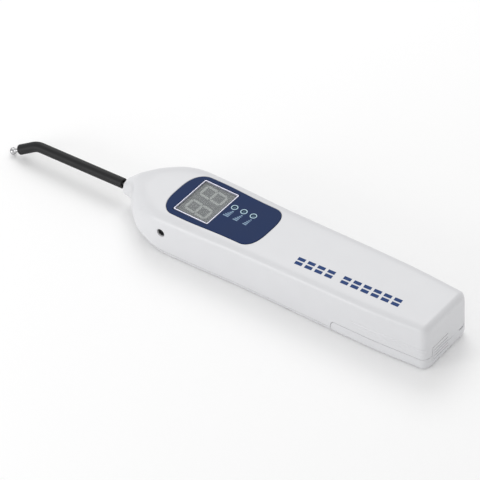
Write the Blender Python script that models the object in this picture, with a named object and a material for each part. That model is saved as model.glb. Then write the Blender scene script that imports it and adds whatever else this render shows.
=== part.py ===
"""A handheld dental pulp tester with a plug-in bent probe.

The frame has +X towards the probe, +Y to the user's left and +Z up, with its origin on the flat
underside at the middle of the housing's length. Driving dimensions are in millimetres; objects are
made in metres. A station is a distance from the nose's end, measured back along the housing.
"""

import math

import bmesh
import bpy
from mathutils import Matrix, Vector

MM = 0.001
GAP = 0.3  # clearance between neighbouring pieces

# Housing
BODY_LENGTH = 160.0
NOSE_X = BODY_LENGTH / 2
WALL = 1.5
HALF_WIDTH_AT = (
    (0, 3.5), (6, 5.8), (12, 12.2), (20, 17.2), (30, 18.4), (46, 18.0), (72, 16.9), (130, 16.3), (160, 14.4),
)
TOP_AT = ((0, 12.3), (8, 18.3), (16, 19.9), (27, 20.0), (76, 20.5), (104, 21.15), (160, 22.1))
BOTTOM_AT = ((0, 5.3), (9, 5.4), (18, 2.9), (27, 0.7), (38, 0.0), (160, 0.0))
SHOULDER_SHARPNESS_AT = ((0, 2.2), (14, 2.8), (30, 6.1), (100, 8.5), (160, 8.5))
SHOULDER_ROUND_LENGTH = 30.0  # the nose's section turns from round to square over this length
SHOULDER_START = 0.42  # share of the height where the upper quarter curve begins
BOTTOM_EDGE_RADIUS = 2.6
REAR_CORNER_RADIUS = 3.2
REAR_TOP_RADIUS = 2.6
REAR_BOTTOM_RADIUS = 2.0
SMALLEST_RADIUS = 0.6  # of a rear edge, however far the form is shrunk
SPLIT_Z = 2.4

# Battery cover
COVER_FRONT_X = -35.5
COVER_Z = 5.8
COVER_CORNER_RADIUS = 2.2
TAB_Y = (-0.8, 9.6)
TAB_Z = (2.3, 9.8)
TAB_PROUD = 0.25
TONGUE_LENGTH = 4.0
TONGUE_HALF_WIDTH = 10.0
TONGUE_THICKNESS = 0.65

# Display
PANEL_STATIONS = (27.4, 73.8)
PANEL_HALF_WIDTH_AT = ((27, 13.1), (40, 13.3), (62, 12.4), (74, 12.3))
PANEL_FRONT_END = (7.0, 3.0)  # length of the rounded end, and its sharpness
PANEL_REAR_END = (6.0, 3.4)
PANEL_PROUD = 0.12
PANEL_DEPTH = 0.75
PANEL_SEAT_DEPTH = 1.05
PANEL_CUT_Z = 15.0  # cuts made from above reach down to here
WINDOW_X = NOSE_X - 41.8
WINDOW_LENGTH = 16.5
WINDOW_WIDTH = 20.6
BEZEL_WIDTH = 0.45
BEZEL_DEPTH = 1.6
WINDOW_TOP_Z = 20.3
WINDOW_INSET = 0.15  # of the pane under the frame's face
WINDOW_THICKNESS = 0.6
MODULE_CLEARANCE = 0.15  # between the digit module and the frame round it
LED_X = (NOSE_X - 53.5, NOSE_X - 58.2, NOSE_X - 63.0)
LED_Y = -3.6
LED_RADIUS = 1.0
LED_BASE_RADIUS = 1.4
LED_BASE_HEIGHT = 4.5
LED_DOME = 0.4

# Circuit board
BOARD_X = (-16.6, 51.5)
BOARD_HALF_WIDTH = 10.8
BOARD_Z = 10.9
BOARD_THICKNESS = 1.6
BOARD_TOP = BOARD_Z + BOARD_THICKNESS

# Lip hook jack, in the left wall of the nose
JACK_X = NOSE_X - 32.0
JACK_Z = 11.85
JACK_RADIUS = 1.7
JACK_BORE_RADIUS = 1.15
JACK_FLANGE_RADIUS = 2.4
JACK_FLANGE_LENGTH = 3.2
JACK_INSET = 0.5  # of its mouth under the wall's face

# Push button, in the right wall
BUTTON_X = 12.0
BUTTON_Z = 14.0
BUTTON_LENGTH = 12.0
BUTTON_HEIGHT = 4.6
BUTTON_PROUD = 0.7
BUTTON_TRAVEL = 0.6
BUTTON_FLANGE_THICKNESS = 0.8
BUTTON_FLANGE_GAP = 0.7  # between the flange and the wall's inner face
BUTTON_FLANGE_REACH = 1.6  # how far the flange passes the cap at each end
SWITCH_SIZE = (6.0, 4.4)

# Probe
PROBE_Z = 8.8
BORE_RADIUS = 2.5
BORE_DEPTH = 16.0
SOCKET_RADII = (1.85, BORE_RADIUS - GAP)
SOCKET_X = (NOSE_X - 14.5, NOSE_X - 0.9)
COLLET_X = (NOSE_X - 13.8, NOSE_X - 1.2)
PIN_RADIUS = 0.95
PIN_REAR_X = NOSE_X - 13.0
ROOT_X = NOSE_X + 0.8  # where the pin leaves the nose's axis
DROOP = math.radians(1.7)
SLEEVE_RADIUS = 2.25
SLEEVE_BORE_RADIUS = 1.35
SLEEVE_START_X = NOSE_X + 1.6
BEND_X = NOSE_X + 48.2
TIP_ANGLE = math.radians(30.3)
BEND_RADIUS = 5.0
SLEEVE_TIP_LENGTH = 10.0
PIN_TIP_LENGTH = 13.9
TIP_RADIUS = 1.55
TIP_FLARE = ((1.6, PIN_RADIUS), (0.9, TIP_RADIUS), (0.25, TIP_RADIUS), (0.0, TIP_RADIUS - 0.25))
PROBE_REST_TURN = math.radians(30.0)  # how far the bent tip is turned to the left at rest

# Battery
BATTERY_SIZE = (48.5, 26.5, 17.5)
BATTERY_REAR_X = -70.0
BATTERY_Z = WALL + GAP
BATTERY_EDGE_RADIUS = 2.3
STUD_HEIGHT = 2.4
STUD_Y = 6.35
STUD_RADII = {"battery_plus_stud": 2.8, "battery_minus_stud": 3.7}
STRAP_SIZE = (2.2, 24.0, 11.0)
PAD_SIZE = (18.0, 13.0)
LEAD_RADIUS = 0.55
LEAD_END_X = -14.5

# Screws: the four places where the lower shell is fixed to posts of the upper one
SCREW_PLACES = {
    "front_left": (38.0, 14.3),
    "front_right": (38.0, -14.3),
    "rear_left": (-14.0, 13.25),
    "rear_right": (-14.0, -13.25),
}
SCREW_RADIUS = 1.0
SCREW_TOP_Z = 9.2
SCREW_HEAD_RADIUS = 2.0
SCREW_HEAD_Z = (0.15, 0.9)
SCREW_HEAD_CHAMFER = 0.3
COUNTERBORE_Z = 1.2
PAD_RADIUS = 3.0
PAD_SKIN = 0.4  # between a screw pad and the underside's face
POST_RADIUS = 2.1
POST_FOOT_Z = 3.2
POST_TOP_Z = 21.0

# Helper boxes that reach well past the housing on every side
BEYOND_X = NOSE_X + 10
BEYOND_Y = 30
BEYOND_Z = (-5, 40)


def smooth_value(points, at):
    """The value at a station, on a smooth curve that never overshoots the (station, value) points."""
    if at <= points[0][0]:
        return points[0][1]
    if at >= points[-1][0]:
        return points[-1][1]
    slopes = [(b[1] - a[1]) / (b[0] - a[0]) for a, b in zip(points, points[1:])]
    tangents = [slopes[0]]
    for before, after in zip(slopes, slopes[1:]):
        flat = before * after <= 0
        tangents.append(0.0 if flat else 2 * before * after / (before + after))
    tangents.append(slopes[-1])
    i = next(k for k in range(len(slopes)) if at <= points[k + 1][0])
    span = points[i + 1][0] - points[i][0]
    t = (at - points[i][0]) / span
    rise = points[i + 1][1] - points[i][1]
    start = tangents[i] * span
    end = tangents[i + 1] * span
    bend = 3 * rise - 2 * start - end
    return points[i][1] + t * start + t * t * bend + t ** 3 * (start + end - 2 * rise)


def clear_scene():
    for obj in list(bpy.data.objects):
        bpy.data.objects.remove(obj)


def finish_material(name, colour, roughness, metallic=0.0, alpha=1.0):
    material = bpy.data.materials.get(name)
    if material:
        return material
    material = bpy.data.materials.new(name)
    material.use_nodes = True
    shader = material.node_tree.nodes["Principled BSDF"]
    shader.inputs["Base Color"].default_value = (*colour, 1.0)
    shader.inputs["Roughness"].default_value = roughness
    shader.inputs["Metallic"].default_value = metallic
    shader.inputs["Alpha"].default_value = alpha
    material.diffuse_color = (*colour, alpha)
    return material


FINISHES = {
    "white_plastic": ((0.85, 0.86, 0.87), 0.32),
    "blue_panel": ((0.03, 0.05, 0.16), 0.28),
    "silver_trim": ((0.78, 0.79, 0.81), 0.30, 0.6),
    "clear_window": ((0.45, 0.48, 0.48), 0.12),
    "grey_module": ((0.30, 0.33, 0.33), 0.50),
    "led_lens": ((0.60, 0.80, 0.84), 0.20),
    "green_board": ((0.03, 0.20, 0.09), 0.45),
    "black_plastic": ((0.02, 0.02, 0.022), 0.45),
    "bright_metal": ((0.75, 0.75, 0.76), 0.22, 1.0),
    "brass": ((0.72, 0.52, 0.22), 0.30, 1.0),
    "black_sleeve": ((0.012, 0.012, 0.013), 0.50),
    "battery_label": ((0.10, 0.12, 0.14), 0.40),
    "red_wire": ((0.60, 0.03, 0.03), 0.45),
    "foam": ((0.08, 0.08, 0.09), 0.95),
    "yellow_tape": ((0.75, 0.55, 0.08), 0.40),
}


def add_object(name, mesh_in_mm, finish, pivot=(0, 0, 0)):
    """A named object from a bmesh in millimetres, with its origin at the pivot and its normals facing out."""
    bmesh.ops.recalc_face_normals(mesh_in_mm, faces=mesh_in_mm.faces)
    bmesh.ops.translate(mesh_in_mm, verts=mesh_in_mm.verts, vec=-Vector(pivot))
    bmesh.ops.scale(mesh_in_mm, verts=mesh_in_mm.verts, vec=(MM, MM, MM))
    mesh = bpy.data.meshes.new(name)
    mesh_in_mm.to_mesh(mesh)
    mesh_in_mm.free()
    mesh.shade_smooth()
    mesh.set_sharp_from_angle(angle=math.radians(35))
    obj = bpy.data.objects.new(name, mesh)
    obj.location = Vector(pivot) * MM
    bpy.context.scene.collection.objects.link(obj)
    if finish:
        mesh.materials.append(finish_material(finish, *FINISHES[finish]))
    return obj


def boolean(target, other, operation="DIFFERENCE"):
    """Cuts, joins or keeps target with a helper object that stays hidden."""
    other.hide_render = True
    other.display_type = "WIRE"
    modifier = target.modifiers.new(f"{operation.lower()}_{other.name}", "BOOLEAN")
    modifier.operation = operation
    modifier.solver = "EXACT"
    modifier.object = other


def rings_mesh(rings, closed_loop=False):
    """A closed solid skinned over rings of equally many points; a closed loop joins the last to the first."""
    bm = bmesh.new()
    rows = [[bm.verts.new(point) for point in ring] for ring in rings]
    pairs = list(zip(rows, rows[1:]))
    if closed_loop:
        pairs.append((rows[-1], rows[0]))
    for first, second in pairs:
        count = len(first)
        for i in range(count):
            j = (i + 1) % count
            bm.faces.new((first[i], first[j], second[j], second[i]))
    if not closed_loop:
        bm.faces.new(rows[0])
        bm.faces.new(rows[-1])
    return bm


def box_mesh(low, high, bevel=0.0, segments=2):
    """A box between two corners, with its edges rounded by the bevel."""
    low = Vector(low)
    high = Vector(high)
    bm = bmesh.new()
    place = Matrix.Translation((low + high) / 2) @ Matrix.Diagonal((*(high - low), 1.0))
    bmesh.ops.create_cube(bm, size=1.0, matrix=place)
    if bevel:
        bmesh.ops.bevel(bm, geom=bm.edges[:], offset=bevel, segments=segments, profile=0.5, affect="EDGES")
    return bm


def prism_mesh(outline, low, high, axis):
    """An outline in the plane across an axis, extruded along it from low to high."""
    order = {"Z": lambda u, v, w: (u, v, w), "Y": lambda u, v, w: (u, w, v)}[axis]
    return rings_mesh([[order(u, v, level) for u, v in outline] for level in (low, high)])


def turned_mesh(profile, centre, axis, sides=24):
    """A solid turned about an axis through the centre, from (distance along, radius) points.

    A profile that ends where it began makes a tube; otherwise both ends are closed by flat caps.
    """
    along = {"X": Vector((1, 0, 0)), "Y": Vector((0, 1, 0)), "Z": Vector((0, 0, 1))}[axis]
    across = {"X": Vector((0, 1, 0)), "Y": Vector((0, 0, 1)), "Z": Vector((1, 0, 0))}[axis]
    third = along.cross(across)
    tube = profile[0] == profile[-1]
    points = profile[:-1] if tube else profile
    rings = []
    for distance, radius in points:
        middle = Vector(centre) + along * distance
        turn = [2 * math.pi * k / sides for k in range(sides)]
        rings.append([middle + radius * (across * math.cos(a) + third * math.sin(a)) for a in turn])
    return rings_mesh(rings, closed_loop=tube)


def tube_profile(start, end, inner, outer):
    return [(start, inner), (start, outer), (end, outer), (end, inner), (start, inner)]


def swept_mesh(path, sides, radius_at, bore=None):
    """A round rod that follows a path in the XZ plane; radius_at gives its radius at each point."""
    rings = []
    for i, point in enumerate(path):
        before = path[max(i - 1, 0)]
        after = path[min(i + 1, len(path) - 1)]
        along = (after - before).normalized()
        across = Vector((0, 1, 0))
        third = along.cross(across)
        turn = [2 * math.pi * k / sides for k in range(sides)]
        rings.append([point + radius_at(i) * (across * math.cos(a) + third * math.sin(a)) for a in turn])
    if not bore:
        return rings_mesh(rings)
    inner = []
    for point, ring in zip(path, rings):
        inner.append([point + (corner - point).normalized() * bore for corner in ring])
    return rings_mesh(rings + inner[::-1], closed_loop=True)


def rounded_rectangle(low, high, radius, steps=4):
    """The outline of a rectangle with round corners, anticlockwise."""
    centres = (
        (high[0] - radius, high[1] - radius),
        (low[0] + radius, high[1] - radius),
        (low[0] + radius, low[1] + radius),
        (high[0] - radius, low[1] + radius),
    )
    outline = []
    for quarter, (x, y) in enumerate(centres):
        for step in range(steps + 1):
            angle = math.pi / 2 * (quarter + step / steps)
            outline.append((x + radius * math.cos(angle), y + radius * math.sin(angle)))
    return outline


def rear_drop(station, end, radius, offset):
    """How far a rounded rear edge has fallen away at a station, with the form grown by the offset."""
    radius = max(radius + offset, SMALLEST_RADIUS)
    into = station - (end - radius)
    if into <= 0:
        return 0.0
    return radius - math.sqrt(max(radius ** 2 - into ** 2, 0.0))


def section_ring(station, offset, end, bottom_steps=4, shoulder_steps=7):
    """The housing's cross-section at a station, grown by the offset; end is the station of the rear face."""
    half = smooth_value(HALF_WIDTH_AT, station) + offset - rear_drop(station, end, REAR_CORNER_RADIUS, offset)
    top = smooth_value(TOP_AT, station) + offset - rear_drop(station, end, REAR_TOP_RADIUS, offset)
    bottom = smooth_value(BOTTOM_AT, station) - offset + rear_drop(station, end, REAR_BOTTOM_RADIUS, offset)
    round_nose = 1 - min(station / SHOULDER_ROUND_LENGTH, 1.0)
    edge = max(BOTTOM_EDGE_RADIUS + offset, 0.5)
    edge_y = edge + (half - 0.2 - edge) * round_nose
    shoulder_z = bottom + SHOULDER_START * (top - bottom)
    edge_z = edge + (shoulder_z - 0.1 - bottom - edge) * round_nose
    power = 2 / smooth_value(SHOULDER_SHARPNESS_AT, station)
    side = []
    for k in range(bottom_steps + 1):
        angle = math.pi / 2 * k / bottom_steps
        side.append((half - edge_y + edge_y * math.sin(angle), bottom + edge_z - edge_z * math.cos(angle)))
    for k in range(shoulder_steps + 1):
        angle = math.pi / 2 * k / shoulder_steps
        across = half * math.cos(angle) ** power if k < shoulder_steps else 0.0
        side.append((across, shoulder_z + (top - shoulder_z) * math.sin(angle) ** power))
    x = NOSE_X - station
    ring = [(x, y, z) for y, z in side]
    return ring + [(x, -y, z) for y, z in side[-2::-1]]


def body_mesh(offset=0.0, start=0.0, end=BODY_LENGTH):
    """The housing's outer form grown by the offset, from one station to another."""
    stations = [start]
    step = 2.5
    while stations[-1] < 40:
        stations.append(stations[-1] + step)
    count = 9
    corner = max(REAR_CORNER_RADIUS + offset, SMALLEST_RADIUS)
    last_straight = end - corner
    first = stations[-1]
    stations += [first + (last_straight - first) * k / count for k in range(1, count + 1)]
    corner_steps = 6
    turn = [math.pi / 2 * k / corner_steps for k in range(1, corner_steps + 1)]
    stations += [last_straight + corner * math.sin(angle) for angle in turn]
    return rings_mesh([section_ring(station, offset, end) for station in stations])


def panel_outline(margin=0.0, side_steps=8, end_steps=7):
    """The display panel's outline: gently tapered sides between two bulging ends."""
    front = PANEL_STATIONS[0] - margin
    rear = PANEL_STATIONS[1] + margin
    half = []
    front_length, front_power = PANEL_FRONT_END
    rear_length, rear_power = PANEL_REAR_END
    for k in range(end_steps + 1):
        angle = math.pi / 2 * k / end_steps
        share = math.sin(angle) ** (2 / front_power)
        half.append((front + front_length * (1 - math.cos(angle)), share))
    first = front + front_length
    last = rear - rear_length
    half += [(first + (last - first) * k / side_steps, 1.0) for k in range(1, side_steps)]
    for k in range(end_steps, -1, -1):
        angle = math.pi / 2 * k / end_steps
        share = math.sin(angle) ** (2 / rear_power)
        half.append((rear - rear_length * (1 - math.cos(angle)), share))
    left = []
    for station, share in half:
        left.append((NOSE_X - station, share * (smooth_value(PANEL_HALF_WIDTH_AT, station) + margin)))
    return left + [(x, -y) for x, y in left[-2:0:-1]]


def cover_outline(margin=0.0):
    """The battery cover's side view: a front edge with a round top corner, open to the rear and below."""
    front = COVER_FRONT_X + margin
    top = COVER_Z + margin
    radius = COVER_CORNER_RADIUS
    steps = 5
    corner = []
    for k in range(steps + 1):
        angle = math.pi / 2 * k / steps
        corner.append((front - radius + radius * math.cos(angle), top - radius + radius * math.sin(angle)))
    return [(-BEYOND_X, BEYOND_Z[0]), (front, BEYOND_Z[0]), *corner, (-BEYOND_X, top)]


def probe_path(start_x, tip_length, bend_steps=8):
    """Points along the probe: out of the nose, a slightly drooping arm, a round bend and a straight tip."""
    root = Vector((ROOT_X, 0, PROBE_Z))
    arm = Vector((math.cos(DROOP), 0, -math.sin(DROOP)))
    bend = root + arm * ((BEND_X - ROOT_X) / arm.x)
    if start_x < ROOT_X:
        path = [Vector((start_x, 0, PROBE_Z)), root]
    else:
        path = [root + arm * ((start_x - ROOT_X) / arm.x)]
    tangent = BEND_RADIUS * math.tan((TIP_ANGLE - DROOP) / 2)
    centre = bend - arm * tangent - BEND_RADIUS * Vector((math.sin(DROOP), 0, math.cos(DROOP)))
    for k in range(bend_steps + 1):
        angle = DROOP + (TIP_ANGLE - DROOP) * k / bend_steps
        path.append(centre + BEND_RADIUS * Vector((math.sin(angle), 0, math.cos(angle))))
    path.append(bend + tip_length * Vector((math.cos(TIP_ANGLE), 0, -math.sin(TIP_ANGLE))))
    return path


def wall_y(x):
    """The outer wall's distance from the middle plane at an x."""
    return smooth_value(HALF_WIDTH_AT, NOSE_X - x)


def make_posts(shell):
    """Screw posts that hang from the upper shell's ceiling, with blind pilot holes."""
    for place, (x, y) in SCREW_PLACES.items():
        centre = (x, y, 0)
        post = turned_mesh([(POST_FOOT_Z, POST_RADIUS), (POST_TOP_Z, POST_RADIUS)], centre, "Z", sides=16)
        post = add_object(f"post_{place}", post, None)
        limit = body_mesh(offset=-WALL / 2, start=5)
        boolean(post, add_object(f"post_limit_{place}", limit, None), "INTERSECT")
        boolean(shell, post, "UNION")
    for place, (x, y) in SCREW_PLACES.items():
        radius = SCREW_RADIUS + GAP
        hole = turned_mesh([(0.0, radius), (SCREW_TOP_Z + GAP, radius)], (x, y, 0), "Z", sides=12)
        boolean(shell, add_object(f"pilot_{place}", hole, None))


def make_top_shell():
    shell = add_object("top_shell", body_mesh(), "white_plastic")
    cavity = body_mesh(offset=-WALL, start=12.5, end=BODY_LENGTH - WALL)
    boolean(shell, add_object("shell_cavity", cavity, None))
    make_posts(shell)
    below = box_mesh((-BEYOND_X, -BEYOND_Y, BEYOND_Z[0]), (BEYOND_X, BEYOND_Y, SPLIT_Z + GAP / 2))
    boolean(shell, add_object("below_split", below, None))
    cover_space = prism_mesh(cover_outline(GAP / 2), -BEYOND_Y, BEYOND_Y, "Y")
    boolean(shell, add_object("cover_space", cover_space, None))
    notch = box_mesh((-BEYOND_X, TAB_Y[0] - GAP, 0), (-NOSE_X + 2 * WALL, TAB_Y[1] + GAP, TAB_Z[1] + GAP))
    boolean(shell, add_object("latch_notch", notch, None))

    seat = prism_mesh(panel_outline(GAP), PANEL_CUT_Z, BEYOND_Z[1], "Z")
    seat = add_object("panel_seat", seat, None)
    under_seat = add_object("under_panel_seat", body_mesh(offset=-PANEL_SEAT_DEPTH, start=5), None)
    boolean(seat, under_seat)
    boolean(shell, seat)
    cut_display_openings(shell, "shell")
    bore = turned_mesh([(-BORE_DEPTH, BORE_RADIUS), (2, BORE_RADIUS)], (NOSE_X, 0, PROBE_Z), "X")
    boolean(shell, add_object("nose_bore", bore, None))
    radius = JACK_RADIUS + GAP
    through = [(BOARD_HALF_WIDTH, radius), (BEYOND_Y, radius)]
    jack_hole = turned_mesh(through, (JACK_X, 0, JACK_Z), "Y", sides=20)
    boolean(shell, add_object("jack_hole", jack_hole, None))
    boolean(shell, add_object("button_hole", button_mesh(-BEYOND_Y, -BOARD_HALF_WIDTH, GAP), None))


def cut_display_openings(target, name):
    """Cuts the window's opening and the three light holes right through a piece."""
    half_length = WINDOW_LENGTH / 2 + BEZEL_WIDTH + GAP
    half_width = WINDOW_WIDTH / 2 + BEZEL_WIDTH + GAP
    low = (WINDOW_X - half_length, -half_width, PANEL_CUT_Z)
    opening = box_mesh(low, (WINDOW_X + half_length, half_width, BEYOND_Z[1]))
    boolean(target, add_object(f"{name}_window_opening", opening, None))
    radius = LED_RADIUS + GAP
    for i, x in enumerate(LED_X):
        hole = turned_mesh([(PANEL_CUT_Z, radius), (BEYOND_Z[1], radius)], (x, LED_Y, 0), "Z", sides=16)
        boolean(target, add_object(f"{name}_led_hole_{i}", hole, None))


def button_mesh(low_y, high_y, margin=0.0):
    """The button's rounded outline, extruded through the right wall."""
    half_length = BUTTON_LENGTH / 2 + margin
    half_height = BUTTON_HEIGHT / 2 + margin
    low = (BUTTON_X - half_length, BUTTON_Z - half_height)
    high = (BUTTON_X + half_length, BUTTON_Z + half_height)
    return prism_mesh(rounded_rectangle(low, high, half_height - 0.05), low_y, high_y, "Y")


def make_bottom_shell():
    shell = add_object("bottom_shell", body_mesh(), "white_plastic")
    cavity = body_mesh(offset=-WALL, start=14, end=BODY_LENGTH - WALL)
    boolean(shell, add_object("bottom_cavity", cavity, None))
    for place, (x, y) in SCREW_PLACES.items():
        pad = turned_mesh([(PAD_SKIN, PAD_RADIUS), (SPLIT_Z + GAP, PAD_RADIUS)], (x, y, 0), "Z", sides=20)
        pad = add_object(f"pad_{place}", pad, None)
        limit = body_mesh(offset=-PAD_SKIN, start=14)
        boolean(pad, add_object(f"pad_limit_{place}", limit, None), "INTERSECT")
        boolean(shell, pad, "UNION")
    above = box_mesh((-BEYOND_X, -BEYOND_Y, SPLIT_Z - GAP / 2), (BEYOND_X, BEYOND_Y, BEYOND_Z[1]))
    boolean(shell, add_object("above_split", above, None))
    behind = box_mesh((-BEYOND_X, -BEYOND_Y, BEYOND_Z[0]), (COVER_FRONT_X + GAP / 2, BEYOND_Y, BEYOND_Z[1]))
    boolean(shell, add_object("behind_front_seam", behind, None))
    low = (COVER_FRONT_X - 1, -TONGUE_HALF_WIDTH - GAP, WALL - TONGUE_THICKNESS - GAP)
    rebate = box_mesh(low, (COVER_FRONT_X + TONGUE_LENGTH + GAP, TONGUE_HALF_WIDTH + GAP, 5))
    boolean(shell, add_object("tongue_rebate", rebate, None))
    head = SCREW_HEAD_RADIUS + GAP
    shank = SCREW_RADIUS + GAP
    steps = [(-1, head), (COUNTERBORE_Z, head), (COUNTERBORE_Z, shank), (SPLIT_Z + 1, shank)]
    for place, (x, y) in SCREW_PLACES.items():
        boolean(shell, add_object(f"screw_hole_{place}", turned_mesh(steps, (x, y, 0), "Z", sides=16), None))


def make_battery_cover():
    cover = add_object("battery_cover", body_mesh(), "white_plastic")
    cavity = body_mesh(offset=-WALL, start=14, end=BODY_LENGTH - WALL)
    boolean(cover, add_object("cover_cavity", cavity, None))
    space = prism_mesh(cover_outline(-GAP / 2), -BEYOND_Y, BEYOND_Y, "Y")
    boolean(cover, add_object("cover_form", space, None), "INTERSECT")
    low = (-NOSE_X - TAB_PROUD, TAB_Y[0], TAB_Z[0])
    tab = box_mesh(low, (-NOSE_X + WALL - GAP, TAB_Y[1], TAB_Z[1]), bevel=0.4)
    boolean(cover, add_object("latch_tab", tab, None), "UNION")
    low = (COVER_FRONT_X - 1.5, -TONGUE_HALF_WIDTH, WALL - TONGUE_THICKNESS)
    tongue = box_mesh(low, (COVER_FRONT_X + TONGUE_LENGTH, TONGUE_HALF_WIDTH, WALL))
    boolean(cover, add_object("front_tongue", tongue, None), "UNION")


def make_display():
    panel = prism_mesh(panel_outline(), PANEL_CUT_Z, BEYOND_Z[1], "Z")
    panel = add_object("display_panel", panel, "blue_panel")
    boolean(panel, add_object("panel_skin", body_mesh(offset=PANEL_PROUD, start=5), None), "INTERSECT")
    boolean(panel, add_object("panel_core", body_mesh(offset=-PANEL_DEPTH, start=5), None))
    cut_display_openings(panel, "panel")

    low = WINDOW_TOP_Z - BEZEL_DEPTH
    inner = (WINDOW_LENGTH / 2, WINDOW_WIDTH / 2)
    outer = (inner[0] + BEZEL_WIDTH, inner[1] + BEZEL_WIDTH)
    frame = box_mesh((WINDOW_X - outer[0], -outer[1], low), (WINDOW_X + outer[0], outer[1], WINDOW_TOP_Z))
    frame = add_object("window_bezel", frame, "silver_trim")
    hole_low = (WINDOW_X - inner[0], -inner[1], low - 1)
    hole = box_mesh(hole_low, (WINDOW_X + inner[0], inner[1], WINDOW_TOP_Z + 1))
    boolean(frame, add_object("bezel_hole", hole, None))

    glass = (inner[0] - GAP, inner[1] - GAP)
    top = WINDOW_TOP_Z - WINDOW_INSET
    low = (WINDOW_X - glass[0], -glass[1], top - WINDOW_THICKNESS)
    pane = box_mesh(low, (WINDOW_X + glass[0], glass[1], top))
    add_object("display_window", pane, "clear_window")

    block = (inner[0] - MODULE_CLEARANCE, inner[1] - MODULE_CLEARANCE)
    low = (WINDOW_X - block[0], -block[1], BOARD_TOP + GAP)
    high = (WINDOW_X + block[0], block[1], top - WINDOW_THICKNESS - GAP)
    add_object("digit_module", box_mesh(low, high, bevel=0.3, segments=1), "grey_module")


def make_leds():
    base = BOARD_TOP + GAP
    for name, x in zip(("led_high", "led_mid", "led_low"), LED_X):
        top = smooth_value(TOP_AT, NOSE_X - x) + 0.1
        profile = [
            (base, LED_BASE_RADIUS),
            (base + LED_BASE_HEIGHT, LED_BASE_RADIUS),
            (base + LED_BASE_HEIGHT + 0.5, LED_RADIUS),
            (top - LED_DOME, LED_RADIUS),
        ]
        for k in range(1, 4):
            angle = math.pi / 2 * k / 4
            profile.append((top - LED_DOME + LED_DOME * math.sin(angle), LED_RADIUS * math.cos(angle)))
        add_object(name, turned_mesh(profile, (x, LED_Y, 0), "Z", sides=16), "led_lens")


# Parts under the board: x range, y range, height, edge bevel and finish
UNDER_BOARD = {
    "microcontroller": ((20.0, 32.0), (-4.0, 4.0), 2.0, 0.25, "black_plastic"),
    "step_up_transformer": ((0.0, 13.0), (-6.5, 6.5), 6.2, 0.8, "yellow_tape"),
    "switching_transistor": ((-9.0, -4.0), (2.5, 8.5), 3.2, 0.3, "black_plastic"),
}
CAPACITOR_CENTRE = (-1.0, 5.6)
CAPACITOR_RADIUS = 2.9
CAPACITOR_HALF_LENGTH = 5.5
BUZZER_CENTRE = (-10.0, -3.0, 0.0)
BUZZER_RADIUS = 4.4
BUZZER_HEIGHT = 4.4
CAN_CHAMFER = 0.4


def make_electronics():
    half = BOARD_HALF_WIDTH
    board = box_mesh((BOARD_X[0], -half, BOARD_Z), (BOARD_X[1], half, BOARD_TOP))
    add_object("main_board", board, "green_board")
    under = BOARD_Z - GAP
    for name, (x, y, height, bevel, finish) in UNDER_BOARD.items():
        block = box_mesh((x[0], y[0], under - height), (x[1], y[1], under), bevel=bevel, segments=1)
        add_object(name, block, finish)
    over = BOARD_TOP + GAP
    radius = CAPACITOR_RADIUS
    end = CAPACITOR_HALF_LENGTH
    can = [(-end, radius - CAN_CHAMFER), (-end + CAN_CHAMFER, radius)]
    can += [(end - CAN_CHAMFER, radius), (end, radius - CAN_CHAMFER)]
    can = turned_mesh(can, (*CAPACITOR_CENTRE, over + radius), "X")
    add_object("storage_capacitor", can, "black_plastic")
    top = over + BUZZER_HEIGHT
    drum = [(over, BUZZER_RADIUS), (top - CAN_CHAMFER, BUZZER_RADIUS), (top, BUZZER_RADIUS - CAN_CHAMFER)]
    add_object("buzzer", turned_mesh(drum, BUZZER_CENTRE, "Z"), "black_plastic")


def make_jack():
    base = BOARD_HALF_WIDTH + GAP
    mouth = wall_y(JACK_X) - JACK_INSET
    profile = [
        (base, JACK_BORE_RADIUS * 0.9),
        (base, JACK_FLANGE_RADIUS),
        (base + JACK_FLANGE_LENGTH, JACK_FLANGE_RADIUS),
        (base + JACK_FLANGE_LENGTH, JACK_RADIUS),
        (mouth, JACK_RADIUS),
        (mouth, JACK_BORE_RADIUS),
        (base + 1.0, JACK_BORE_RADIUS),
        (base, JACK_BORE_RADIUS * 0.9),
    ]
    add_object("lip_hook_jack", turned_mesh(profile, (JACK_X, 0, JACK_Z), "Y", sides=20), "black_plastic")


def make_button():
    wall = wall_y(BUTTON_X)
    outer = -wall + WALL + BUTTON_FLANGE_GAP
    inner = outer + BUTTON_FLANGE_THICKNESS
    pivot = (BUTTON_X, -wall, BUTTON_Z)
    cap = button_mesh(-wall - BUTTON_PROUD, (outer + inner) / 2)
    cap = add_object("push_button", cap, "blue_panel", pivot)
    reach = BUTTON_LENGTH / 2 + BUTTON_FLANGE_REACH
    half = BUTTON_HEIGHT / 2
    flange = box_mesh((BUTTON_X - reach, outer, BUTTON_Z - half), (BUTTON_X + reach, inner, BUTTON_Z + half))
    boolean(cap, add_object("button_flange", flange, None), "UNION")
    face = inner + BUTTON_TRAVEL + GAP
    base = BOARD_TOP + GAP
    length, height = SWITCH_SIZE
    low = (BUTTON_X - length / 2, face, base)
    switch = box_mesh(low, (BUTTON_X + length / 2, -9.0, base + height), bevel=0.2, segments=1)
    add_object("tact_switch", switch, "black_plastic")


def turn_to_rest(bm):
    """Turns a form of the probe about the bore, so that its tip clears the surface under the housing."""
    turn = Matrix.Rotation(PROBE_REST_TURN, 3, "X")
    bmesh.ops.rotate(bm, verts=bm.verts, cent=(0, 0, PROBE_Z), matrix=turn)


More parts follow.
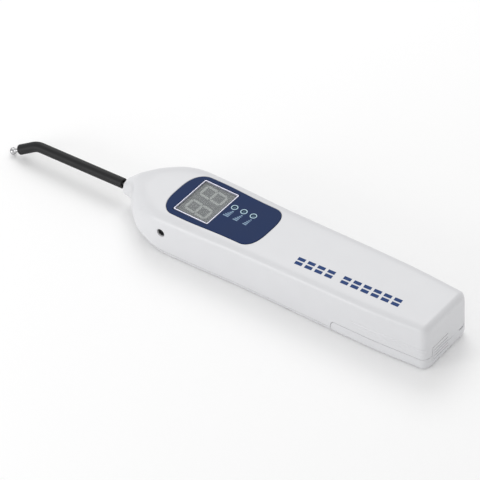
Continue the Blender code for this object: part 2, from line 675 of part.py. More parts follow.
def make_probe():
    axis = (0, 0, PROBE_Z)
    pivot = (NOSE_X, 0, PROBE_Z)
    socket = tube_profile(*SOCKET_X, *SOCKET_RADII)
    add_object("probe_socket", turned_mesh(socket, axis, "X"), "brass")
    collet = tube_profile(*COLLET_X, PIN_RADIUS + GAP, SOCKET_RADII[0] - GAP)
    add_object("contact_collet", turned_mesh(collet, axis, "X", sides=20), "bright_metal", pivot)

    pin_path = probe_path(PIN_REAR_X, PIN_TIP_LENGTH)
    end = pin_path.pop()
    forward = (end - pin_path[-1]).normalized()
    radii = [PIN_RADIUS] * len(pin_path)
    for back, radius in TIP_FLARE:
        pin_path.append(end - forward * back)
        radii.append(radius)
    pin = swept_mesh(pin_path, 16, lambda i: radii[i])
    turn_to_rest(pin)
    add_object("probe_pin", pin, "bright_metal", pivot)
    sleeve_path = probe_path(SLEEVE_START_X, SLEEVE_TIP_LENGTH)
    sleeve = swept_mesh(sleeve_path, 20, lambda i: SLEEVE_RADIUS, bore=SLEEVE_BORE_RADIUS)
    turn_to_rest(sleeve)
    add_object("probe_sleeve", sleeve, "black_sleeve", pivot)


def make_battery():
    length, width, height = BATTERY_SIZE
    low = (-width / 2, BATTERY_Z)
    high = (width / 2, BATTERY_Z + height)
    section = rounded_rectangle(low, high, BATTERY_EDGE_RADIUS)
    front = BATTERY_REAR_X + length - STUD_HEIGHT
    rings = [[(x, y, z) for y, z in section] for x in (BATTERY_REAR_X, front)]
    add_object("battery", rings_mesh(rings), "battery_label")
    middle = BATTERY_Z + height / 2
    stud_end = front + STUD_HEIGHT
    for (name, radius), y in zip(STUD_RADII.items(), (STUD_Y, -STUD_Y)):
        stud = turned_mesh([(front + GAP, radius), (stud_end, radius)], (0, y, middle), "X", sides=16)
        add_object(name, stud, "bright_metal")
    strap_x = stud_end + GAP
    strap_end = strap_x + STRAP_SIZE[0]
    low = (strap_x, -STRAP_SIZE[1] / 2, middle - STRAP_SIZE[2] / 2)
    strap = box_mesh(low, (strap_end, STRAP_SIZE[1] / 2, middle + STRAP_SIZE[2] / 2), bevel=0.6)
    add_object("battery_connector", strap, "black_plastic")
    low = (-NOSE_X + WALL + GAP, -PAD_SIZE[0] / 2, middle - PAD_SIZE[1] / 2)
    pad = box_mesh(low, (BATTERY_REAR_X - GAP, PAD_SIZE[0] / 2, middle + PAD_SIZE[1] / 2), bevel=0.6)
    add_object("battery_pad", pad, "foam")
    make_leads(strap_end + GAP, middle)


def smooth_points(points, steps=4):
    """Points along a smooth curve through the given ones."""
    smooth = []
    for i in range(len(points) - 1):
        before = Vector(points[max(i - 1, 0)])
        here = Vector(points[i])
        after = Vector(points[i + 1])
        beyond = Vector(points[min(i + 2, len(points) - 1)])
        for k in range(steps):
            t = k / steps
            bend = 2 * here + (after - before) * t + (2 * before - 5 * here + 4 * after - beyond) * t * t
            smooth.append((bend + (3 * here - before - 3 * after + beyond) * t ** 3) / 2)
    return smooth + [Vector(points[-1])]


def lead(name, points, finish):
    """An insulated wire between two fixed ends, as a round tube along a smooth curve."""
    curve = bpy.data.curves.new(name, "CURVE")
    curve.dimensions = "3D"
    curve.bevel_depth = LEAD_RADIUS * MM
    curve.bevel_resolution = 1
    curve.use_fill_caps = True
    spline = curve.splines.new("POLY")
    smooth = smooth_points(points)
    spline.points.add(len(smooth) - 1)
    for point, place in zip(spline.points, smooth):
        point.co = (*(place * MM), 1.0)
    obj = bpy.data.objects.new(name, curve)
    curve.materials.append(finish_material(finish, *FINISHES[finish]))
    bpy.context.scene.collection.objects.link(obj)


def make_leads(strap_front, middle):
    """Two leads run from the battery to the board, and a third joins the probe socket to its front."""
    for name, y, finish in (
        ("positive_lead", STUD_Y, "red_wire"),
        ("negative_lead", -STUD_Y, "black_plastic"),
    ):
        points = [
            (strap_front, y, middle),
            (strap_front + 1.6, y, middle - 1.5),
            (LEAD_END_X - 0.5, y * 0.9, 9.5),
            (LEAD_END_X + 2.2, y * 0.85, 9.7),
        ]
        lead(name, points, finish)
    start = SOCKET_X[0] - GAP
    route = [
        (start, 2.0, PROBE_Z),
        (start - 3, 2.6, PROBE_Z - 0.3),
        (start - 9, 3.4, 9.0),
        (start - 14, 3.5, 9.4),
        (start - 18, 3.5, 9.6),
    ]
    lead("probe_lead", route, "red_wire")


def make_screws():
    low, high = SCREW_HEAD_Z
    profile = [
        (low, SCREW_HEAD_RADIUS - SCREW_HEAD_CHAMFER),
        (low + SCREW_HEAD_CHAMFER / 2, SCREW_HEAD_RADIUS),
        (high, SCREW_HEAD_RADIUS),
        (high, SCREW_RADIUS),
        (SCREW_TOP_Z, SCREW_RADIUS),
    ]
    for place, (x, y) in SCREW_PLACES.items():
        add_object(f"screw_{place}", turned_mesh(profile, (x, y, 0), "Z", sides=16), "bright_metal")


clear_scene()
make_top_shell()
make_bottom_shell()
make_battery_cover()
make_display()
make_leds()
make_electronics()
make_jack()
make_button()
make_probe()
make_battery()
make_screws()
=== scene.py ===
"""The looks of a handheld dental pulp tester: fine shells, display, probe, inner pieces and materials.

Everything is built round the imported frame. Lengths are in millimetres until a mesh is made. A station is a
distance from the nose's end, measured back along the housing; +X is the probe's end, +Y the left side.
"""

import math

import bmesh
import bpy
from mathutils import Matrix, Vector


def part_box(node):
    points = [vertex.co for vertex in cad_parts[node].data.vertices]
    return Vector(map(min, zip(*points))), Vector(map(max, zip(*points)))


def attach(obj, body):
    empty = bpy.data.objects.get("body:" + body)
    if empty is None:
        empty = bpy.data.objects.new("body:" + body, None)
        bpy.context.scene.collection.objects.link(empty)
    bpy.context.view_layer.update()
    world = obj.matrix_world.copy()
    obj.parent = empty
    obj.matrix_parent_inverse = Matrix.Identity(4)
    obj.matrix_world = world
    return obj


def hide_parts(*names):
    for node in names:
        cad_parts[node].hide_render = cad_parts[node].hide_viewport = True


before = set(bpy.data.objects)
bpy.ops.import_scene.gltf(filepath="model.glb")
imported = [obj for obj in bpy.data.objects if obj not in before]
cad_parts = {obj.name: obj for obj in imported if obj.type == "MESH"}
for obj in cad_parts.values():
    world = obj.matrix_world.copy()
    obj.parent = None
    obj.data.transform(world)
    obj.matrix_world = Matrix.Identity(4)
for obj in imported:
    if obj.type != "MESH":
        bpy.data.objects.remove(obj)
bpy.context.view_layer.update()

MM = 0.001


def mm_box(node):
    """The lowest and highest corner of a CAD node, in millimetres."""
    low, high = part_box(node)
    return low / MM, high / MM


# Places and sizes taken from the frame
SHELL_LOW, SHELL_HIGH = mm_box("top_shell")
NOSE_X = SHELL_HIGH.x
LENGTH = SHELL_HIGH.x - SHELL_LOW.x
COVER_LOW, COVER_HIGH = mm_box("battery_cover")
PANEL_LOW, PANEL_HIGH = mm_box("display_panel")
BEZEL_LOW, BEZEL_HIGH = mm_box("window_bezel")
WINDOW_LOW, WINDOW_HIGH = mm_box("display_window")
MODULE_LOW, MODULE_HIGH = mm_box("digit_module")
BUTTON_LOW, BUTTON_HIGH = mm_box("push_button")
JACK_LOW, JACK_HIGH = mm_box("lip_hook_jack")
COLLET_LOW, COLLET_HIGH = mm_box("contact_collet")
PIN_START_X = mm_box("probe_pin")[0].x

# The housing's form, as station and value
HALF_WIDTH_AT = (
    (0, 3.5), (6, 5.8), (12, 12.2), (20, 17.2), (30, 18.4), (46, 18.0), (72, 16.9), (130, 16.3), (160, 14.4),
)
TOP_AT = ((0, 12.3), (8, 18.3), (16, 19.9), (27, 20.0), (76, 20.5), (104, 21.15), (160, 22.1))
BOTTOM_AT = ((0, 5.3), (9, 5.4), (18, 2.9), (27, 0.7), (38, 0.0), (160, 0.0))
SHOULDER_SHARPNESS_AT = ((0, 2.2), (14, 2.8), (30, 6.1), (100, 8.5), (160, 8.5))
SHOULDER_START = 0.42
SHOULDER_ROUND_LENGTH = 30.0
BOTTOM_EDGE_RADIUS = 2.6
REAR_CORNER_RADIUS = 3.2
REAR_TOP_RADIUS = 2.6
REAR_BOTTOM_RADIUS = 2.0
SMALLEST_RADIUS = 0.6
NOSE_RIM_RADIUS = 0.5
WALL = 1.5
SPLIT_Z = 2.4
SEAM = 0.16  # visible width of a parting line
SEAM_BEVEL = 0.42
SEAM_BEVEL_DEPTH = 0.16

# Battery cover
TONGUE_LENGTH = 4.0
TONGUE_HALF_WIDTH = 10.0
TONGUE_THICKNESS = 0.65
COVER_FRONT_X = COVER_HIGH.x - TONGUE_LENGTH
COVER_Z = 5.8
COVER_CORNER_RADIUS = 2.2
TAB_Y = (-0.8, 9.6)
TAB_Z = (2.3, COVER_HIGH.z)
TAB_RIBS = 4
TAB_RIB_HEIGHT = 0.55
TAB_RIB_DEPTH = 0.22
PRY_SLOT_Y = (-11.0, -8.4)
PRY_SLOT_DEPTH = 0.55

# Grip grooves on the rear half of both sides: height, depth and the stations where they fade in and out
GROOVES = ((11.0, 0.30, 124.0, 160.0), (9.3, 0.13, 126.0, 160.0), (7.7, 0.08, 128.0, 160.0))
GROOVE_HALF_WIDTH = 0.42

# Display panel
PANEL_HALF_WIDTH_AT = ((27, 13.1), (40, 13.3), (62, 12.4), (74, 12.3))
PANEL_FRONT_END = (7.0, 3.0)  # length of the rounded end, and its sharpness
PANEL_REAR_END = (6.0, 3.4)
PANEL_PROUD = 0.12
PANEL_DEPTH = 0.75
SEAT_DEPTH = 1.05
OPENING_Z = (10, 35)  # how far the cuts through the panel and the shell reach
FIT = 0.3  # clearance round the panel and its openings
LED_NODES = ("led_high", "led_mid", "led_low")
LED_RADIUS = 1.0
LED_BASE_RADIUS = 1.4
LED_DOME = 0.45

# Probe
PROBE_Z = (COLLET_LOW.z + COLLET_HIGH.z) / 2
BORE_RADIUS = 2.5
ROOT_X = NOSE_X + 0.8  # where the pin leaves the nose's axis
DROOP = math.radians(1.7)
BEND_X = NOSE_X + 48.2
TIP_ANGLE = math.radians(30.3)
BEND_RADIUS = 9.0
SLEEVE_RADIUS = 2.25
SLEEVE_BORE_RADIUS = 1.4
SLEEVE_START_X = NOSE_X + 2.1
PIN_RADIUS = 0.95
TIP_RADIUS = 1.55
SLEEVE_TIP_LENGTH = 9.3
PIN_TIP_LENGTH = 13.9
TIP_SLOT_WIDTH = 0.55
TIP_SLOT_DEPTH = 1.9
TIP_SLOT_TURN = math.radians(20.0)
PROBE_REST_TURN = math.radians(30.0)  # how far the bent tip is turned to the left at rest

SCREW_NODES = ("screw_front_left", "screw_front_right", "screw_rear_left", "screw_rear_right")
SCREW_RADIUS = 1.0
SCREW_HEAD_RADIUS = 2.0
CROSS_LENGTH = 2.2
CROSS_WIDTH = 0.5
CROSS_DEPTH = 0.5
POST_RADIUS = 2.1
POST_Z = (3.2, 21.0)
PAD_RADIUS = 3.0
PAD_SKIN = 0.4  # between a screw pad and the underside's face
COUNTERBORE_Z = 1.2

# Helper forms reach this far past the housing
BEYOND_X = 10
BEYOND_Y = 30
BEYOND_Z = (-5, 40)


# Forms ----------------------------------------------------------------------------------------------------


def smooth_value(points, at):
    """The value at a station, on a smooth curve that never overshoots the (station, value) points."""
    if at <= points[0][0]:
        return points[0][1]
    if at >= points[-1][0]:
        return points[-1][1]
    slopes = [(b[1] - a[1]) / (b[0] - a[0]) for a, b in zip(points, points[1:])]
    tangents = [slopes[0]]
    for before, after in zip(slopes, slopes[1:]):
        flat = before * after <= 0
        tangents.append(0.0 if flat else 2 * before * after / (before + after))
    tangents.append(slopes[-1])
    i = next(k for k in range(len(slopes)) if at <= points[k + 1][0])
    span = points[i + 1][0] - points[i][0]
    t = (at - points[i][0]) / span
    rise = points[i + 1][1] - points[i][1]
    start = tangents[i] * span
    end = tangents[i + 1] * span
    bend = 3 * rise - 2 * start - end
    return points[i][1] + t * start + t * t * bend + t ** 3 * (start + end - 2 * rise)


def smooth_step(low, high, at):
    t = min(max((at - low) / (high - low), 0.0), 1.0)
    return t * t * (3 - 2 * t)


def fillet_drop(into, radius):
    """How far a rounded edge has fallen away at a distance into its curve."""
    if into <= 0:
        return 0.0
    return radius - math.sqrt(max(radius ** 2 - into ** 2, 0.0))


def rear_drop(station, end, radius, offset):
    """How far a rounded rear edge has fallen away at a station, with the form grown by the offset."""
    grown = max(radius + offset, SMALLEST_RADIUS)
    return fillet_drop(station - end + grown, grown)


def spread(low, high, steps):
    """Evenly spaced values from low to exactly high."""
    return [low + (high - low) * k / steps for k in range(steps)] + [high]


def section_size(station, offset, end):
    """Half width, top and bottom of the housing at a station, grown by the offset."""
    rim = fillet_drop(NOSE_RIM_RADIUS - station, NOSE_RIM_RADIUS)
    half = smooth_value(HALF_WIDTH_AT, station) + offset - rim
    top = smooth_value(TOP_AT, station) + offset - rim
    bottom = smooth_value(BOTTOM_AT, station) - offset + rim
    half -= rear_drop(station, end, REAR_CORNER_RADIUS, offset)
    top -= rear_drop(station, end, REAR_TOP_RADIUS, offset)
    bottom += rear_drop(station, end, REAR_BOTTOM_RADIUS, offset)
    return half, top, bottom


def half_section(station, offset, end, steps):
    """(y, z) points of the left half of the section, from the bottom's middle round the side to the top's."""
    flat_steps, edge_steps, side_steps, shoulder_steps, crown_steps = steps
    half, top, bottom = section_size(station, offset, end)
    round_nose = 1 - min(station / SHOULDER_ROUND_LENGTH, 1.0)
    edge = max(BOTTOM_EDGE_RADIUS + offset, 0.5)
    shoulder_z = bottom + SHOULDER_START * (top - bottom)
    edge_y = edge + (half - 0.2 - edge) * round_nose
    edge_z = edge + (shoulder_z - 0.1 - bottom - edge) * round_nose
    sharpness = smooth_value(SHOULDER_SHARPNESS_AT, station)
    turn = 0.5 ** (1 / sharpness)
    points = [(y, bottom) for y in spread(0.0, half - edge_y, flat_steps)]
    for angle in spread(0.0, math.pi / 2, edge_steps)[1:]:
        points.append((half - edge_y * (1 - math.sin(angle)), bottom + edge_z * (1 - math.cos(angle))))
    points += [(half, z) for z in spread(bottom + edge_z, shoulder_z, side_steps)[1:]]
    lower_steps = shoulder_steps // 2
    rises = spread(0.0, 0.3 * turn, lower_steps)[1:]
    rises += spread(0.3 * turn, turn, shoulder_steps - lower_steps)[1:]
    for rise in rises:
        y = half * (1 - rise ** sharpness) ** (1 / sharpness)
        points.append((y, shoulder_z + (top - shoulder_z) * rise))
    for share in spread(turn, 0.0, crown_steps)[1:]:
        z = shoulder_z + (top - shoulder_z) * (1 - share ** sharpness) ** (1 / sharpness)
        points.append((half * share, z))
    return points


def top_z(station, y, offset=0.0):
    """The height of the housing's upper surface over a point, grown by the offset."""
    half, top, bottom = section_size(station, offset, LENGTH)
    shoulder_z = bottom + SHOULDER_START * (top - bottom)
    sharpness = smooth_value(SHOULDER_SHARPNESS_AT, station)
    share = min(abs(y) / half, 1.0)
    return shoulder_z + (top - shoulder_z) * (1 - share ** sharpness) ** (1 / sharpness)


def add_skin(bm, rings, closed_loop=False):
    """Adds a closed form skinned over equally long rings, whose last ring may join the first in a loop."""
    rows = [[bm.verts.new(point) for point in ring] for ring in rings]
    pairs = list(zip(rows, rows[1:]))
    if closed_loop:
        pairs.append((rows[-1], rows[0]))
    for first, second in pairs:
        count = len(first)
        for i in range(count):
            j = (i + 1) % count
            bm.faces.new((first[i], first[j], second[j], second[i]))
    if not closed_loop:
        bm.faces.new(rows[0])
        bm.faces.new(rows[-1])


def rings_mesh(rings, closed_loop=False):
    bm = bmesh.new()
    add_skin(bm, rings, closed_loop)
    bmesh.ops.recalc_face_normals(bm, faces=bm.faces)
    return bm


def box_mesh(low, high, bevel=0.0, segments=3):
    """A box between two corners, with its edges rounded by the bevel."""
    low = Vector(low)
    high = Vector(high)
    bm = bmesh.new()
    place = Matrix.Translation((low + high) / 2) @ Matrix.Diagonal((*(high - low), 1.0))
    bmesh.ops.create_cube(bm, size=1.0, matrix=place)
    if bevel:
        bmesh.ops.bevel(bm, geom=bm.edges[:], offset=bevel, segments=segments, profile=0.5, affect="EDGES")
    return bm


def turned_mesh(profile, centre, axis, sides=48):
    """A form turned about an axis through the centre, from (distance along, radius) points.

    A profile that ends where it began makes a tube; otherwise both ends are closed by flat caps.
    """
    along = {"X": Vector((1, 0, 0)), "Y": Vector((0, 1, 0)), "Z": Vector((0, 0, 1))}[axis]
    across = {"X": Vector((0, 1, 0)), "Y": Vector((0, 0, 1)), "Z": Vector((1, 0, 0))}[axis]
    third = along.cross(across)
    tube = profile[0] == profile[-1]
    rings = []
    for distance, radius in profile[:-1] if tube else profile:
        middle = Vector(centre) + along * distance
        turn = [2 * math.pi * k / sides for k in range(sides)]
        rings.append([middle + radius * (across * math.cos(a) + third * math.sin(a)) for a in turn])
    return rings_mesh(rings, closed_loop=tube)


def prism_mesh(outline, low, high, axis):
    """An outline in the plane across an axis, extruded along it from low to high."""
    order = {"Y": lambda u, v, w: (u, w, v), "Z": lambda u, v, w: (u, v, w)}[axis]
    return rings_mesh([[order(u, v, level) for u, v in outline] for level in (low, high)])


def rounded_rectangle(low, high, radius, steps=6):
    """The outline of a rectangle with round corners, anticlockwise."""
    centres = (
        (high[0] - radius, high[1] - radius),
        (low[0] + radius, high[1] - radius),
        (low[0] + radius, low[1] + radius),
        (high[0] - radius, low[1] + radius),
    )
    outline = []
    for quarter, (x, y) in enumerate(centres):
        for step in range(steps + 1):
            angle = math.pi / 2 * (quarter + step / steps)
            outline.append((x + radius * math.cos(angle), y + radius * math.sin(angle)))
    return outline


def new_mesh(name, bm):
    """A mesh in metres from a bmesh in millimetres."""
    bmesh.ops.scale(bm, verts=bm.verts, vec=(MM, MM, MM))
    mesh = bpy.data.meshes.new(name)
    bm.to_mesh(mesh)
    bm.free()
    return mesh


def combine(base, steps):
    """The mesh left after cutting, joining or keeping a base form with a list of (operation, form)."""
    helpers = []
    for form in [base] + [form for _, form in steps]:
        mesh = form if isinstance(form, bpy.types.Mesh) else new_mesh("helper", form)
        helper = bpy.data.objects.new("helper", mesh)
        bpy.context.scene.collection.objects.link(helper)
        helpers.append(helper)
    for (operation, _), helper in zip(steps, helpers[1:]):
        modifier = helpers[0].modifiers.new("step", "BOOLEAN")
        modifier.operation = operation
        modifier.solver = "MANIFOLD"
        modifier.object = helper
    bpy.context.view_layer.update()
    graph = bpy.context.evaluated_depsgraph_get()
    result = bpy.data.meshes.new_from_object(helpers[0].evaluated_get(graph))
    for helper in helpers:
        mesh = helper.data
        bpy.data.objects.remove(helper)
        if not mesh.users:
            bpy.data.meshes.remove(mesh)
    return result


def add_piece(name, form, material, body, replaces=(), sharp=35):
    """A finished piece, smooth between its sharp edges, that rides on a body and stands for its CAD nodes."""
    mesh = form if isinstance(form, bpy.types.Mesh) else new_mesh(name, form)
    mesh.name = name
    mesh.materials.clear()
    mesh.materials.append(material)
    mesh.shade_smooth()
    mesh.set_sharp_from_angle(angle=math.radians(sharp))
    obj = bpy.data.objects.new(name, mesh)
    bpy.context.scene.collection.objects.link(obj)
    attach(obj, body)
    if replaces:
        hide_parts(*replaces)
    return obj


# Materials ------------------------------------------------------------------------------------------------


def finish(name, colour, roughness, metallic=0.0, mottle=0.03, mottle_size=6.0, grain=0.25, grain_depth=0.004,
           stretch=(1, 1, 1), **shader_values):
    """A material whose colour and gloss wander a little over the surface, with a fine moulded or drawn grain.

    Sizes are in millimetres. The other values go straight onto the shader's own sockets.
    """
    material = bpy.data.materials.new(name)
    material.use_nodes = True
    nodes = material.node_tree.nodes
    links = material.node_tree.links
    shader = nodes["Principled BSDF"]
    place = nodes.new("ShaderNodeTexCoord")
    scale = nodes.new("ShaderNodeMapping")
    scale.inputs["Scale"].default_value = stretch
    links.new(place.outputs["Object"], scale.inputs["Vector"])

    wander = nodes.new("ShaderNodeTexNoise")
    wander.inputs["Scale"].default_value = 1 / (mottle_size * MM)
    wander.inputs["Detail"].default_value = 4.0
    links.new(scale.outputs["Vector"], wander.inputs["Vector"])
    tint = nodes.new("ShaderNodeValToRGB")
    tint.color_ramp.elements[0].position = 0.3
    tint.color_ramp.elements[1].position = 0.7
    tint.color_ramp.elements[0].color = (*[c * (1 - mottle) for c in colour], 1.0)
    tint.color_ramp.elements[1].color = (*[min(c * (1 + mottle), 1.0) for c in colour], 1.0)
    links.new(wander.outputs["Fac"], tint.inputs["Fac"])
    links.new(tint.outputs["Color"], shader.inputs["Base Color"])

    gloss = nodes.new("ShaderNodeMapRange")
    gloss.inputs["From Min"].default_value = 0.3
    gloss.inputs["From Max"].default_value = 0.7
    gloss.inputs["To Min"].default_value = roughness * 0.88
    gloss.inputs["To Max"].default_value = min(roughness * 1.14, 1.0)
    links.new(wander.outputs["Fac"], gloss.inputs["Value"])
    links.new(gloss.outputs["Result"], shader.inputs["Roughness"])

    speckle = nodes.new("ShaderNodeTexNoise")
    speckle.inputs["Scale"].default_value = 1 / (grain * MM)
    speckle.inputs["Detail"].default_value = 3.0
    links.new(scale.outputs["Vector"], speckle.inputs["Vector"])
    bump = nodes.new("ShaderNodeBump")
    bump.inputs["Strength"].default_value = 1.0
    bump.inputs["Distance"].default_value = grain_depth * MM
    links.new(speckle.outputs["Fac"], bump.inputs["Height"])
    links.new(bump.outputs["Normal"], shader.inputs["Normal"])

    shader.inputs["Metallic"].default_value = metallic
    for socket, value in shader_values.items():
        shader.inputs[socket.replace("_", " ")].default_value = value
    return material


WHITE = finish("white_abs", (0.680, 0.683, 0.700), 0.34, mottle=0.008, mottle_size=9.0, grain=0.35,
               grain_depth=0.003)
NAVY = finish("navy_overlay", (0.018, 0.035, 0.100), 0.42, mottle=0.05, mottle_size=14.0, grain=0.5,
              grain_depth=0.001, Specular_IOR_Level=0.05)
SILVER = finish("silver_trim", (0.62, 0.62, 0.72), 0.30, metallic=0.55, mottle=0.03, grain=0.12,
                grain_depth=0.002)
GLASS = finish("window_acrylic", (0.18, 0.19, 0.21), 0.07, mottle=0.01, mottle_size=12.0, grain=2.0,
               grain_depth=0.0004, Alpha=0.12)
MODULE_GREY = finish("module_face", (0.205, 0.220, 0.218), 0.60, mottle=0.03, mottle_size=4.0, grain=0.3,
                     grain_depth=0.0002)
SEGMENT = finish("unlit_segment", (0.41, 0.44, 0.42), 0.42, mottle=0.04, mottle_size=1.2, grain=0.3,
                 grain_depth=0.0005)
LENS = finish("led_lens", (0.024, 0.068, 0.130), 0.30, mottle=0.05, mottle_size=0.8, grain=0.4,
              grain_depth=0.001, Specular_IOR_Level=0.3)
PRINT_CYAN = finish("cyan_print", (0.42, 0.60, 0.70), 0.42, mottle=0.06, mottle_size=0.5, grain=0.3,
                    grain_depth=0.001)
PRINT_DIM = finish("dim_print", (0.17, 0.28, 0.42), 0.42, mottle=0.06, mottle_size=0.5, grain=0.3,
                   grain_depth=0.001)
PRINT_BLUE = finish("blue_print", (0.006, 0.040, 0.165), 0.50, mottle=0.08, mottle_size=0.8, grain=0.3,
                    grain_depth=0.001, Specular_IOR_Level=0.2)
BUTTON_BLUE = finish("blue_button", (0.030, 0.050, 0.17), 0.42, mottle=0.04, mottle_size=2.0, grain=0.2)
BLACK = finish("black_plastic", (0.022, 0.022, 0.024), 0.45, mottle=0.12, mottle_size=1.5, grain=0.18)
SLEEVE = finish("heat_shrink", (0.008, 0.008, 0.009), 0.50, mottle=0.18, mottle_size=1.6, grain=0.22,
                grain_depth=0.010, stretch=(0.35, 1, 1), Specular_IOR_Level=0.32)
STEEL = finish("bright_steel", (0.66, 0.66, 0.67), 0.24, metallic=1.0, mottle=0.04, mottle_size=1.0,
               grain=0.12, grain_depth=0.003, stretch=(0.15, 1, 1))
PROBE_STEEL = finish("probe_steel", (0.50, 0.50, 0.51), 0.26, metallic=1.0, mottle=0.45, mottle_size=0.7,
                     grain=0.12, grain_depth=0.003, stretch=(0.12, 1, 1))
BRASS = finish("brass", (0.78, 0.56, 0.24), 0.28, metallic=1.0, mottle=0.06, mottle_size=1.5, grain=0.1)
BOARD = finish("solder_mask", (0.020, 0.135, 0.060), 0.38, mottle=0.22, mottle_size=3.5, grain=0.3,
               grain_depth=0.01)
TAPE = finish("yellow_tape", (0.70, 0.50, 0.07), 0.36, mottle=0.10, mottle_size=3.0, grain=0.4,
              grain_depth=0.01)
FOAM = finish("foam_pad", (0.055, 0.055, 0.060), 0.92, mottle=0.35, mottle_size=0.5, grain=0.35,
              grain_depth=0.12)
CASE = finish("battery_case", (0.050, 0.062, 0.075), 0.34, mottle=0.05, mottle_size=5.0, grain=0.3)
COPPER = finish("copper_label", (0.60, 0.33, 0.16), 0.32, metallic=0.6, mottle=0.05, mottle_size=4.0)
RED = finish("red_wire", (0.52, 0.024, 0.020), 0.42, mottle=0.08, mottle_size=1.0, grain=0.2)

CAD_FINISHES = {
    "probe_socket": BRASS,
    "positive_lead": RED,
    "negative_lead": BLACK,
    "probe_lead": RED,
}


def dress_cad_nodes():
    for node, material in CAD_FINISHES.items():
        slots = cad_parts[node].data.materials
        slots.clear()
        slots.append(material)


# Housing --------------------------------------------------------------------------------------------------

FINE = (6, 12, 36, 34, 28)
COARSE = (4, 6, 6, 10, 10)


def cover_distance(x, z, margin=0.0):
    """Signed distance, in side view, from the battery cover's edge; it is negative inside the cover."""
    front = COVER_FRONT_X + margin
    top = COVER_Z + margin
    into_x = x - front + COVER_CORNER_RADIUS
    into_z = z - top + COVER_CORNER_RADIUS
    if into_x > 0 and into_z > 0:
        return math.hypot(into_x, into_z) - COVER_CORNER_RADIUS
    return max(x - front, z - top)


def relief(x, z):
    """How deep the outer skin is pressed in: bevels along the parting lines, and the grip grooves."""
    seam = abs(cover_distance(x, z))
    if x > COVER_FRONT_X:
        seam = min(seam, abs(z - SPLIT_Z))
    depth = SEAM_BEVEL_DEPTH * max(1 - seam / SEAM_BEVEL, 0.0)
    station = NOSE_X - x
    for height, deep, fade_in, fade_out in GROOVES:
        away = (z - height) / GROOVE_HALF_WIDTH
        if abs(away) < 1:
            strength = smooth_step(fade_in, fade_in + 3, station) * smooth_step(0, 1.2, fade_out - station)
            depth += deep * strength * (1 - away * away) ** 2
    return depth


def body_stations(start, end, fine):
    """Stations for the rings, close together at the nose, the cover's front edge and the rear corners."""
    corner_start = end - REAR_CORNER_RADIUS
    seam = NOSE_X - COVER_FRONT_X
    if fine:
        marks = [(0.0, 0), (0.5, 6), (8, 12), (40, 48), (seam - 0.7, 56), (seam + 0.7, 14), (seam + 3.2, 12)]
        marks += [(124, 6), (130, 12), (corner_start, 18)]
        corner_steps = 26
    else:
        marks = [(start, 0), (40, 26), (seam, 14), (corner_start, 10)]
        corner_steps = 8
    found = [marks[0][0]]
    for (low, _), (high, steps) in zip(marks, marks[1:]):
        found += spread(low, high, steps)[1:]
    turn = [math.pi / 2 * k / corner_steps for k in range(1, corner_steps + 1)]
    return found + [corner_start + REAR_CORNER_RADIUS * math.sin(angle) for angle in turn]


def body_form(offset=0.0, start=0.0, end=LENGTH, steps=COARSE, pressed=False):
    """The housing's outer form, grown by the offset; pressed adds the seams' bevels and the grooves."""
    rings = []
    for station in body_stations(start, end, steps is FINE):
        side = half_section(station, offset, end, steps)
        x = NOSE_X - station
        ring = [(x, y, z) for y, z in side]
        rings.append(ring + [(x, -y, z) for y, z in side[-2:0:-1]])
    bm = rings_mesh(rings)
    if pressed:
        bm.normal_update()
        moves = [(vert, vert.normal * relief(vert.co.x, vert.co.z)) for vert in bm.verts]
        for vert, move in moves:
            vert.co -= move
    return bm


def cover_outline(margin):
    """The battery cover's side view: a front edge with a round top corner, open to the rear and below."""
    front = COVER_FRONT_X + margin
    top = COVER_Z + margin
    corner = []
    for angle in spread(0.0, math.pi / 2, 16):
        x = front - COVER_CORNER_RADIUS * (1 - math.cos(angle))
        corner.append((x, top - COVER_CORNER_RADIUS * (1 - math.sin(angle))))
    far = SHELL_LOW.x - BEYOND_X
    return [(far, BEYOND_Z[0]), (front, BEYOND_Z[0]), *corner, (far, top)]


def panel_outline(margin=0.0, side_steps=30, end_steps=22):
    """The display panel's (station, y) outline: gently tapered sides between two bulging ends."""
    front = NOSE_X - PANEL_HIGH.x - margin
    rear = NOSE_X - PANEL_LOW.x + margin
    front_length, front_power = PANEL_FRONT_END
    rear_length, rear_power = PANEL_REAR_END
    half = []
    for angle in spread(0.0, math.pi / 2, end_steps):
        half.append((front + front_length * (1 - math.cos(angle)), math.sin(angle) ** (2 / front_power)))
    inner = spread(front + front_length, rear - rear_length, side_steps)[1:-1]
    half += [(station, 1.0) for station in inner]
    for angle in spread(math.pi / 2, 0.0, end_steps):
        half.append((rear - rear_length * (1 - math.cos(angle)), math.sin(angle) ** (2 / rear_power)))
    left = [(s, share * (smooth_value(PANEL_HALF_WIDTH_AT, s) + margin)) for s, share in half]
    return left + [(s, -y) for s, y in left[-2:0:-1]]


def panel_form(levels):
    """A form with the panel's outline that follows the housing's crown, from (margin, offset) levels."""
    middle = NOSE_X - (PANEL_LOW.x + PANEL_HIGH.x) / 2
    shrink_steps = 26

    def ring(margin, offset, share=1.0):
        points = []
        for station, y in panel_outline(margin):
            near = middle + (station - middle) * share
            points.append((NOSE_X - near, y * share, top_z(near, y * share, offset)))
        return points

    inward = [k / shrink_steps for k in range(1, shrink_steps)]
    rings = [ring(*levels[0], share) for share in inward]
    rings += [ring(*level) for level in levels]
    rings += [ring(*levels[-1], share) for share in inward[::-1]]
    return rings_mesh(rings)


def window_opening():
    """The opening for the bezel, cut right through the panel and the shell under it."""
    low = (BEZEL_LOW.x - FIT, BEZEL_LOW.y - FIT, OPENING_Z[0])
    high = (BEZEL_HIGH.x + FIT, BEZEL_HIGH.y + FIT, OPENING_Z[1])
    return box_mesh(low, high)


def led_place(node):
    """The middle and top of a light."""
    low, high = mm_box(node)
    return (low.x + high.x) / 2, (low.y + high.y) / 2, high.z


